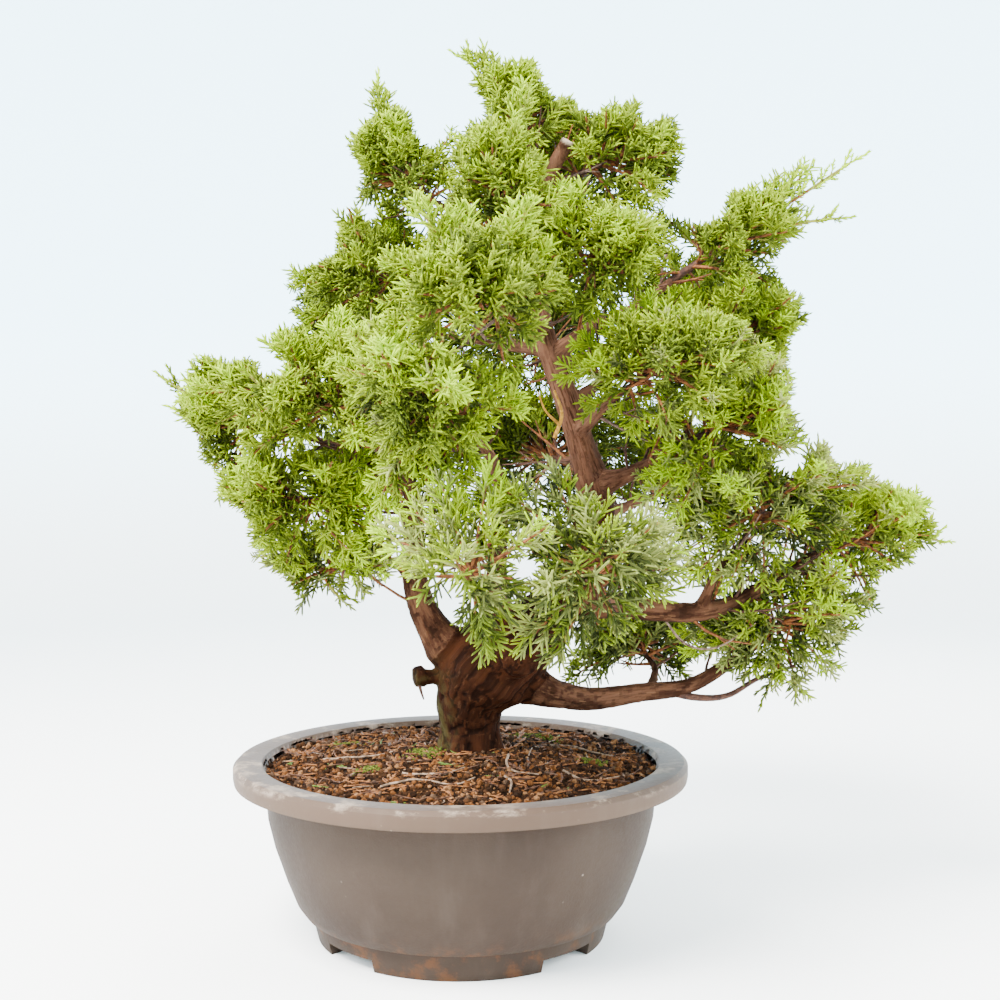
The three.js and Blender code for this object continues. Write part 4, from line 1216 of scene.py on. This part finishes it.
def stem_of(mass):
    """The stem of a mass, which grows on from its bough's tip, and its direction."""
    limb = LIMBS[mass["on"]]
    start = limb["curve"](1.0)
    centre = np.array(mass["centre"], float)
    heading = tangent(limb["curve"], 1.0)
    bend = start + heading * np.linalg.norm(centre - start) * STEM["bend"]
    end = centre - (start - centre) * STEM["overshoot"]
    return bezier(start - heading, bend, centre, end), unit(centre - start)


def shortened(index, curve, edge):
    """The first stretch of a curve that keeps to its space, or None where that is too short."""
    shares = np.linspace(0, 1, TESTS["all"])[TESTS["skipped"]:]
    good = fits(index, curve(shares), edge)
    end = 1.0 if good.all() else shares[good.argmin()] - shares[0] / 3
    if not good[0] or end < TAILS["shortest"]:
        return None
    return lambda t: curve(np.asarray(t, float) * end)


def tails_of(index):
    """The tails of one mass, each with whether it runs out to a long tip."""
    mass = MASSES[index]
    rng = np.random.default_rng(300 + index)
    stem, forward = stem_of(mass)
    aims = [(FROM["long_tip"], np.array(tip, float), True, True) for tip in mass["tips"]]
    aims += [(FROM["tuft"], np.array(tuft, float), False, True) for tuft in mass["tufts"]]
    for number in range(TAILS["tries"]):
        out = spread_direction(index + 1, number, forward)
        share = FROM["middle"] + FROM["swing"] * out.dot(forward)
        share = min(max(share, FROM["lowest"]), FROM["highest"])
        target = CENTRES[index] + out * SIZES[index] * TAILS["aim"] + UP * TAILS["lift"]
        aims.append((share, target, False, False))
    tails = []
    for share, target, outside, free in aims:
        root = stem(share)
        if outside:
            target = target - unit(target - root) * LONG_TIP_SPRAY
        bow = tangent(stem, share) * BOW["out"] * np.linalg.norm(target - root)
        edge = NO_EDGE if free else rng.uniform(TAILS["nearest"], TAILS["farthest"])
        curve = shortened(index, bezier(root, root + (target - root) * BOW["share"] + bow, target), edge)
        if curve is not None:
            tone = rng.normal(0, TAILS["tone"])
            tails.append({"curve": curve, "outside": outside, "free": free, "tone": tone})
        if len(tails) == mass["tails"] + len(mass["tips"]):
            break
    return stem, tails


print("a mass has up to", max(mass["tails"] for mass in MASSES), "tails besides its long tips")

# %% [markdown]
# ## One spray of shoots
#
# A spray is a green thread with a slight bend and shorter threads all round it, as this juniper's
# scale-leaved shoots have. Flat cards with a picture of a spray are light, but they vanish when they are
# seen edge on. So each thread is a thin three-sided tube that ends in a short, brighter point. Three sets
# of eight sprays are built once: full ones, looser and wider ones for the low front, and narrow ones for
# the long tips. Every spray of the crown is one of them, turned, scaled and given a tone.

# %% Threads
THREAD = {"radius": 0.05, "taper": 0.92, "tip": 0.13, "brighter": 3}
SPRAY = {
    "half": 0.5,
    "rise": 0.16,
    "sway": 0.08,
    "first": 0.04,
    "span": 0.84,
    "uneven": 0.25,
    "twist": 0.4,
    "closing": 20,
    "opening": 7,
    "flat": 0.75,
    "lift": 0.06,
    "longest": 0.7,
    "shorter": 0.26,
    "vary": (0.8, 1.2),
}
# Stem threads keep a low step and tips step up most: partly older and younger growth, partly painted shade in
# a spray's core and a painted highlight at its tips.
STEPS = {"stem": 2, "end": 3, "kinds": 5}


def thread(shape, root, heading, length, step, last=True):
    """Adds one thread to a spray, with a brighter tip. A face's number is its step in quarters."""
    reach = length - THREAD["tip"] if last else length
    stand = heading.to_track_quat("Z", "Y").to_matrix().to_4x4()
    wide = THREAD["radius"]
    narrow = wide * THREAD["taper"]
    stages = [(0.0, reach, wide, narrow, step)]
    # The brighter tip is partly young growth and partly a painted highlight.
    if last:
        stages.append((reach, THREAD["tip"], narrow, 0.0, step + THREAD["brighter"]))
    for begin, span, first, second, number in stages:
        place = Matrix.Translation(root + heading * (begin + span / 2)) @ stand
        cone = {"segments": 3, "depth": span, "radius1": first, "radius2": second, "cap_ends": False}
        made = bmesh.ops.create_cone(shape, matrix=place, **cone)["verts"]
        for face in {face for corner in made for face in corner.link_faces}:
            face.material_index = number
    return root + heading * length


def spray(seed, count, narrow, opening):
    """One spray of length 1 along X: its corners, its faces and each face's step towards the tips."""
    rng = np.random.default_rng(seed)
    shape = bmesh.new()
    half, sway = SPRAY["half"], SPRAY["sway"]
    rise = rng.uniform(0.0, SPRAY["rise"])
    first, second = (Vector((1, rng.uniform(-sway, sway), up)).normalized() for up in (-rise, rise))
    middle = thread(shape, Vector((0, 0, 0)), first, half, STEPS["stem"], False)
    thread(shape, middle, second, half, STEPS["end"])
    for number in range(count):
        place = number + rng.uniform(-SPRAY["uneven"], SPRAY["uneven"])
        share = SPRAY["first"] + SPRAY["span"] * place / (count - 1)
        root = first * share if share < half else middle + second * (share - half)
        around = number * TURN + rng.uniform(-SPRAY["twist"], SPRAY["twist"])
        more = rng.uniform(-SPRAY["opening"], SPRAY["opening"])
        angle = math.radians(opening - SPRAY["closing"] * share + more)
        out = Vector((0, math.cos(around), math.sin(around) * SPRAY["flat"]))
        ahead = Vector((1, 0, SPRAY["lift"]))
        heading = (ahead * math.cos(angle) + out * math.sin(angle)).normalized()
        length = (SPRAY["longest"] - SPRAY["shorter"] * share) * rng.uniform(*SPRAY["vary"]) * narrow
        thread(shape, root, heading, length, STEPS["stem"] + int(rng.integers(0, STEPS["kinds"])))
    bmesh.ops.triangulate(shape, faces=shape.faces)
    steps = np.array([face.material_index for face in shape.faces]) / 4
    corners, faces = arrays_of(shape)
    shape.free()
    return corners, faces, steps


SPRAYS = [spray(seed, count=10, narrow=1.0, opening=54) for seed in range(1, 9)]
LOOSE = [spray(seed, count=8, narrow=1.15, opening=50) for seed in range(41, 49)]
RUNNERS = [spray(seed, count=8, narrow=0.55, opening=36) for seed in range(21, 29)]
print("faces in a spray:", [len(made[1]) for made in SPRAYS])

# %% [markdown]
# ### Greens
#
# New growth at the tips is bright yellow-green, older shoots are a deeper green, and the shaded low front
# has a pale grey bloom. A spray's tone comes from its mass, from how far out it lies and from how much it
# points up, and each of its threads has its own step above that. These tones are partly the shoots' own
# greens and partly painted light: darker deep in the crown, on the stem thread and where a spray points down
# is painted shade, and brighter at the tips, far out and where a spray points up is a painted highlight. A
# random colour inside one material would be lost in the export. So the greens are plain colours, dealt out
# by thread.

# %% Greens
GREENS = [
    ("shoot_deep", (0.011, 0.0155, 0.0018)),
    ("shoot_dark", (0.025, 0.035, 0.0038)),
    ("shoot_mid", (0.052, 0.071, 0.0065)),
    ("shoot_leaf", (0.096, 0.13, 0.0085)),
    ("shoot_fresh", (0.16, 0.212, 0.006)),
    ("shoot_bright", (0.205, 0.3, 0.002)),
    ("shoot_tip", (0.28, 0.415, 0.001)),
]
GREYS = [
    ("bloom_dark", (0.03, 0.038, 0.008)),
    ("bloom_mid", (0.083, 0.096, 0.022)),
    ("bloom_pale", (0.185, 0.21, 0.046)),
]
leaf_finishes = [Finish(name, color, 0.6, 0.04) for name, color in GREENS + GREYS]
print(len(leaf_finishes), "greens")

# %% [markdown]
# ### Twigs and sprays
#
# Along each tail stand twigs that get shorter towards its end. A twig bears a spray at its middle and one
# at its tip, and a very short twig only the last. Two more sprays end the tail. The tail that runs out to a
# long tip bears smaller sprays, and its end is green.

# %% Twigs and sprays of one mass
TWIG = {
    "from": 0.2,
    "to": 0.97,
    "uneven": 0.03,
    "fewest": 3,
    "spacing": 3.4,
    "ahead": 0.75,
    "length": 8.5,
    "first": 1.25,
    "taper": 1.1,
    "vary": (0.85, 1.2),
    "drift": 0.12,
    "lift": 0.06,
    "edge": 0.97,
    "shortest": 3.0,
    "radii": (0.5, 0.4),
}
ON_TWIG = {
    "at": np.array([0.5, 1.0]),
    "first": 1.1,
    "ahead": 1.4,
    "wobble": 0.1,
    "tilt": 0.05,
    "vary": (0.8, 1.1),
}
SPRAY_LENGTH = 12.5
TAIL_RADII = (1.1, 0.45)
GREEN_END = {"from": 0.6, "radii": (0.8, 0.7)}
TAIL_ENDS = {  # of a plain tail, and of one that runs out to a long tip
    False: {"narrow": 1.0, "fade": 0.35, "at": np.array([0.9, 1.0]), "spray": 10.0},
    True: {"narrow": 0.85, "fade": 0.65, "at": np.array([0.93, 1.0]), "spray": LONG_TIP_SPRAY},
}
ASIDE = 0.01  # keeps a cross product with an upright twig from vanishing


def headings_round(curve, shares, numbers, forward, up):
    """Points along a curve, directions that leave it by the golden angle, and the curve's own directions."""
    points = curve(shares)
    along = unit(np.array([tangent(curve, share) for share in shares]))
    away = turned(unit(np.cross(UP + ASIDE, along)), along, numbers * TURN)
    ahead = along * np.reshape(forward, (-1, 1))
    return points, unit(ahead + away + UP * up), along


def strand(curve, count, radii, slot, start=0.0):
    """A curve as a row for tubes: even points, their radii and a material's number."""
    return curve(np.linspace(start, 1, count)), np.linspace(*radii, count), slot


def grow(index):
    """Twigs, as rows for tubes, and sprays of one mass."""
    rng = np.random.default_rng(100 + index)
    mass = MASSES[index]
    rise = mass["rise"]
    stem, tails = tails_of(index)
    limb_end = radius_at(LIMBS[mass["on"]]["radii"], 1.0)
    twigs = [strand(stem, 9, (limb_end * STEM["share"], STEM["end_radius"]), 0)]
    parts = []

    def add_sprays(curve, shares, first, size, tail):
        """Sprays that leave a twig by the golden angle, the last one straight on from its tip."""
        numbers = np.arange(len(shares)) + first
        roots, headings, along = headings_round(curve, shares, numbers, ON_TWIG["ahead"], rise)
        headings[-1] = along[-1]
        turns = rng.normal(0, ON_TWIG["wobble"], headings.shape)
        sizes = size * rng.uniform(*ON_TWIG["vary"], len(shares))
        traits = [np.full(len(shares), tail[key]) for key in ("outside", "free", "tone")]
        parts.append((roots, unit(headings + turns), along + ON_TWIG["tilt"], sizes, *traits))

    for tail in tails:
        curve, outside = tail["curve"], tail["outside"]
        ends = TAIL_ENDS[outside]
        edge = NO_EDGE if tail["free"] else TWIG["edge"]
        twigs.append(strand(curve, 7, TAIL_RADII, 1))
        if outside:
            twigs.append(strand(curve, 5, GREEN_END["radii"], 2, GREEN_END["from"]))
        span = length_of(curve) * (TWIG["to"] - TWIG["from"])
        count = max(TWIG["fewest"], int(span / TWIG["spacing"]))
        shares = np.linspace(TWIG["from"], TWIG["to"], count)
        shares = shares + rng.uniform(-TWIG["uneven"], TWIG["uneven"], count)
        ahead = TWIG["ahead"] + TWIG["ahead"] * shares
        points, directions, along = headings_round(curve, shares, np.arange(count), ahead, rise)
        taper = (TWIG["first"] - TWIG["taper"] * shares) * ends["narrow"]
        size = TWIG["length"] * taper * rng.uniform(*TWIG["vary"], count)
        for point, heading, ahead, reach, share in zip(points, directions, along, size, shares):
            tip = point + heading * reach + ahead * reach * TWIG["drift"] + UP * reach * TWIG["lift"]
            twig = bezier(point, point + heading * reach * 0.5, tip)
            if fits(index, tip[None], edge)[0]:
                twigs.append(strand(twig, 3, TWIG["radii"], 2))
                places = ON_TWIG["at"] if reach > TWIG["shortest"] else ON_TWIG["at"][-1:]
                fade = ON_TWIG["first"] - ends["fade"] * share
                add_sprays(twig, places, rng.integers(9), SPRAY_LENGTH * ends["narrow"] * fade, tail)
        add_sprays(curve, ends["at"], 0.5, ends["spray"], tail)
    keys = ("root", "heading", "face", "length", "outside", "free", "shade")
    sprays = {key: np.concatenate(rows) for key, rows in zip(keys, zip(*parts))}
    return twigs, chosen(index, sprays, rng)


print("a twig stands on every", TWIG["spacing"], "mm of a tail")


# %% Choosing and toning the sprays
FIT_SIZES = (1.0, 0.75, 0.55)
EDGE = 1.03
WIDEST = {"at": 0.6, "half": 0.25}
TONE = {"lower": 0.3, "out": 2.4, "even": 0.85, "up": 0.6, "vary": 0.4, "long_tip": 0.1}
STEP_TONE = {"each": 1.1, "lower": 0.85, "grey": 2.0}


def chosen(index, sprays, rng):
    """The sprays that keep to their space, shortened where that helps, with their tones."""
    side = unit(np.cross(sprays["heading"], sprays["face"]))
    kept = np.zeros(len(side), bool)
    length = sprays["length"].copy()
    for shrink in FIT_SIZES:
        size = (sprays["length"] * shrink)[:, None]
        tips = sprays["root"] + sprays["heading"] * size
        middle = sprays["root"] + sprays["heading"] * size * WIDEST["at"]
        aside = side * size * WIDEST["half"]
        good = np.all([fits(index, rows) for rows in (tips, middle + aside, middle - aside)], axis=0)
        good &= fits(index, tips, EDGE) | sprays["free"]
        length[good & ~kept] = size[good & ~kept, 0]
        kept |= good
    out = {key: value[kept] for key, value in sprays.items()}
    out["length"] = length[kept]
    mass = MASSES[index]
    reach = reaches(out["root"] + out["heading"] * out["length"][:, None])[:, index]
    count = len(reach)
    # The tone is partly painted light: lower deep inside the mass is painted shade, and higher where a spray
    # points up is painted light from above, besides the paler young growth far out.
    base = mass["tone"] - TONE["lower"] + TONE["out"] * (reach - TONE["even"])
    out["tone"] = base + TONE["up"] * out["heading"][:, 2] + out["shade"]
    out["tone"] += rng.normal(0, TONE["vary"], count)
    out["tone"] -= TONE["long_tip"] * out["outside"]
    out["grey"] = rng.uniform(0, 1, count) < mass["grey"]
    out["kind"] = rng.integers(0, len(SPRAYS), count)
    return out


def shoot_arrays(sprays, plain):
    """All sprays of one mass as joined arrays, with the number of a green for each face."""
    corners, faces, slots, start = [], [], [], 0
    for kind, outside in [(kind, outside) for kind in range(len(SPRAYS)) for outside in (False, True)]:
        pick = (sprays["kind"] == kind) & (sprays["outside"] == outside)
        shape = (RUNNERS if outside else plain)[kind]
        frames = turned_frames(sprays["heading"][pick], sprays["face"][pick])
        size = sprays["length"][pick]
        scales = np.stack([size, *[(size + SPRAY_LENGTH) / 2] * 2], axis=1)
        placed, joined = scattered(shape[:2], sprays["root"][pick], frames, scales)
        corners.append(placed)
        faces.append(joined + start)
        start += len(placed)
        tone = sprays["tone"][pick][:, None] + STEP_TONE["each"] * shape[2][None] - STEP_TONE["lower"]
        green = np.clip(np.round(tone), 0, len(GREENS) - 1)
        grey = len(GREENS) + np.clip(np.round(tone - STEP_TONE["grey"]), 0, len(GREYS) - 1)
        slots.append(np.where(sprays["grey"][pick][:, None], grey, green).ravel())
    return np.vstack(corners), np.vstack(faces), np.concatenate(slots)


twig_rows = []
total = 0
for index, mass in enumerate(MASSES):
    twigs, sprays = grow(index)
    twig_rows += twigs
    arrays = shoot_arrays(sprays, LOOSE if mass["loose"] else SPRAYS)
    shoots = mesh_of(mass["name"] + "_shoots", *arrays)
    dress(shoots, *leaf_finishes)
    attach(shoots, "root")
    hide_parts("foliage_" + mass["name"])
    total += len(shoots.data.polygons)
    print(mass["name"], len(sprays["root"]), "sprays,", len(shoots.data.polygons), "triangles")
print("shoots in all:", total, "triangles")

# %% [markdown]
# ## Twigs
#
# The twigs that carry the sprays are thin tubes. A curve with a bevel makes one from a line and its radii,
# which is less work than to model it. Old ones are red-brown, young ones orange, and the last ones are
# still green. Inside the crown, where little light comes, many twigs have lost their shoots: bare ones,
# each with a fork, stand on the boughs where foliage is round them, some of them bleached. A few loose ones
# are drawn where the photograph shows them.

# %% Twigs
BARE = {
    "spacing": 4.0,
    "from": 0.2,
    "on_trunk_from": 0.55,
    "to": 0.98,
    "uneven": 0.02,
    "ahead": 0.6,
    "rise": 0.3,
    "shortest": 12.0,
    "longest": 34.0,
    "drift": 0.3,
    "lift": (-0.2, 0.35),
    "within": 0.95,
    "high": 205,
    "within_high": 1.3,
    "radii": (0.95, 0.35),
}
BARE_SLOTS = {"number": (0, 1, 4), "share": (0.5, 0.28, 0.22)}
FORK = {"at": 0.55, "angle": (0.8, 2.0), "length": 0.35, "radii": [0.5, 0.3]}
LOOSE_TWIGS = [
    {"points": [(47, -18, 251), (50, -27, 262), (46, -34, 273)], "radius": 1.3, "slot": 3},
    {"points": [(49, -24, 257), (42, -33, 263), (38, -38, 272)], "radius": 1.0, "slot": 3},
    {"points": [(46, -16, 222), (36, -24, 226), (22, -30, 224)], "radius": 0.8, "slot": 4},
    {"points": [(100, -6, 164), (112, -14, 148), (128, -16, 146), (148, -14, 158)], "radius": 0.8, "slot": 4},
    {"points": [(-21, -13, 128), (-20, -14, 124), (-18.5, -14, 119.5)], "radius": 1.3, "slot": 0},
    {"points": [(104, 6, 121), (122, 7, 117), (138, 8, 118), (153, 6, 127), (172, 4, 134)],
        "radius": 2.2, "slot": 0},
]
LOOSE_END = 0.4  # the radius at a loose twig's tip, in that at its root
TWIG_FINISH = {"roughness": 0.75, "shine": 0.2, "clouds": (420, 4)}
TWIG_COLORS = {
    "twig_old": ((0.025, 0.009, 0.005), (0.075, 0.03, 0.016)),
    "twig_young": ((0.06, 0.018, 0.006), (0.2, 0.065, 0.015)),
    "twig_green": ((0.1, 0.09, 0.012), (0.2, 0.2, 0.025)),
    "twig_golden": ((0.28, 0.13, 0.012), (0.52, 0.26, 0.03)),
    "twig_bleached": ((0.05, 0.026, 0.017), (0.19, 0.115, 0.08)),
}

twig_finishes = [mottled(name, *pair, **TWIG_FINISH) for name, pair in TWIG_COLORS.items()]


def bare_twigs():
    """Bare twigs that leave the boughs by the golden angle, each with a fork."""
    rng = np.random.default_rng(77)
    rows = []
    for name, limb in LIMBS.items():
        curve = limb["curve"]
        start = BARE["on_trunk_from"] if name == "trunk" else BARE["from"]
        count = int(length_of(curve) * (1 - start) / BARE["spacing"])
        shares = np.linspace(start, BARE["to"], count) + rng.uniform(-BARE["uneven"], BARE["uneven"], count)
        numbers = np.arange(count) + len(rows)
        roots, headings, along = headings_round(curve, shares, numbers, BARE["ahead"], BARE["rise"])
        for root, heading, ahead, share in zip(roots, headings, along, shares):
            reach = rng.uniform(BARE["shortest"], BARE["longest"]) + radius_at(limb["radii"], share)
            lift = UP * reach * rng.uniform(*BARE["lift"])
            tip = root + heading * reach + ahead * reach * BARE["drift"] + lift
            within = BARE["within_high"] if root[2] > BARE["high"] else BARE["within"]
            if reaches(tip[None]).min() > within or open_sky(tip[None])[0]:
                continue
            line = bezier(root, root + heading * reach * 0.6, tip)
            slot = BARE_SLOTS["number"][rng.choice(3, p=BARE_SLOTS["share"])]
            rows.append(strand(line, 4, BARE["radii"], slot))
            fork = unit(turned(heading[None], ahead[None], [rng.uniform(*FORK["angle"])])[0] + heading)
            begin = line(FORK["at"])
            rows.append((np.array([begin, begin + fork * reach * FORK["length"]]), FORK["radii"], slot))
    return rows


twig_rows += bare_twigs()
for loose in LOOSE_TWIGS:
    radii = (loose["radius"], loose["radius"] * LOOSE_END)
    twig_rows.append(strand(catmull(loose["points"]), 4 * len(loose["points"]), radii, loose["slot"]))
twigs = tubes("crown_twigs", twig_rows, twig_finishes)
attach(twigs, "root")
print("twigs:", len(twig_rows), "and", triangles(twigs), "triangles")

# %% [markdown]
# ## Litter on the soil
#
# Dead shoots, needles and a few thin twigs have fallen on the granules, and some green bits lie among them.
# A simulation could let them fall, but bits this small look the same when they are laid nearly level at
# chance places. The dead shoots are the crown's narrow sprays laid flat. The twigs are short curves that
# follow the ground.

# %% Litter
DEAD_SPRAYS = {"count": 128, "above": 0.7, "sizes": (7, 15), "flat": 0.35, "shares": (0.5, 0.44, 0.06)}
NEEDLES = {"count": 420, "above": 0.8, "sizes": (4, 12), "bend": 0.25, "shares": (0.55, 0.32, 0.03, 0.1)}
NEEDLE_RADII = [0.35, 0.35, 0.3, 0.2]
LYING = {"from_wall": 8, "lift": (-0.05, 0.18)}
FALLEN = {"above": 1.1, "radii": (0.75, 0.35), "points": 14, "slot": 3}
FALLEN_TWIGS = [
    [(-27, -45), (-14, -50), (-5, -50), (3, -44)],
    [(24, -20), (23, -33), (27, -42), (38, -49)],
    [(-36, -62), (-18, -60), (-2, -62), (8, -54)],
    [(22, -52), (25, -62), (24, -74)],
    [(42, 20), (60, 14), (78, 2)],
    [(-70, -8), (-50, -12), (-34, -10)],
    [(50, -40), (62, -46), (80, -38)],
]
LITTER_COLORS = {
    "needle_dead": ((0.07, 0.022, 0.007), (0.24, 0.085, 0.022)),
    "needle_brown": ((0.03, 0.012, 0.006), (0.1, 0.04, 0.018)),
    "needle_green": ((0.03, 0.05, 0.004), (0.07, 0.11, 0.008)),
    "twig_pale": ((0.07, 0.04, 0.022), (0.24, 0.15, 0.095)),
}

litter_finishes = [mottled(name, *pair, **TWIG_FINISH) for name, pair in LITTER_COLORS.items()]


def lying(count, rng, above):
    """Places on the ground and level directions for things that lie on it."""
    places = spread_on_soil(count, rng, SOIL_RADIUS - LYING["from_wall"]) + UP * above
    angle = rng.uniform(0, 2 * math.pi, len(places))
    lift = rng.uniform(*LYING["lift"], len(places))
    return places, np.stack([np.cos(angle), np.sin(angle), lift], axis=1)


rng = np.random.default_rng(5)
corners, faces, slots, start = [], [], [], 0
for runner_corners, runner_faces, _ in RUNNERS:
    places, headings = lying(DEAD_SPRAYS["count"] // len(RUNNERS), rng, DEAD_SPRAYS["above"])
    size = rng.uniform(*DEAD_SPRAYS["sizes"], len(places))
    frames = turned_frames(headings, np.tile(UP, (len(places), 1)))
    scales = size[:, None] * np.array([1, 1, DEAD_SPRAYS["flat"]])
    placed, joined = scattered((runner_corners, runner_faces), places, frames, scales)
    corners.append(placed)
    faces.append(joined + start)
    start += len(placed)
    slots.append(np.repeat(rng.choice(3, len(places), p=DEAD_SPRAYS["shares"]), len(runner_faces)))
litter = mesh_of("soil_litter", np.vstack(corners), np.vstack(faces), np.concatenate(slots))
dress(litter, *litter_finishes)
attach(litter, "root")

rows = []
places, headings = lying(NEEDLES["count"], rng, NEEDLES["above"])
for place, heading in zip(places, headings):
    reach = rng.uniform(*NEEDLES["sizes"])
    bend = np.array([-heading[1], heading[0], 0]) * reach * rng.uniform(-NEEDLES["bend"], NEEDLES["bend"])
    line = bezier(place, place + heading * reach / 2 + bend, place + heading * reach)
    rows.append((line(np.linspace(0, 1, 4)), NEEDLE_RADII, rng.choice(4, p=NEEDLES["shares"])))
for path in FALLEN_TWIGS:
    flat = catmull([(*place, 0) for place in path])(np.linspace(0, 1, FALLEN["points"]))[:, :2]
    radii = np.linspace(*FALLEN["radii"], FALLEN["points"])
    rows.append((on_ground(flat, FALLEN["above"]), radii, FALLEN["slot"]))
fallen = tubes("soil_twigs", rows, litter_finishes)
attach(fallen, "root")
print("litter:", len(litter.data.polygons) + triangles(fallen), "triangles")

# %% [markdown]
# ## The end

# %% The end
print("done")
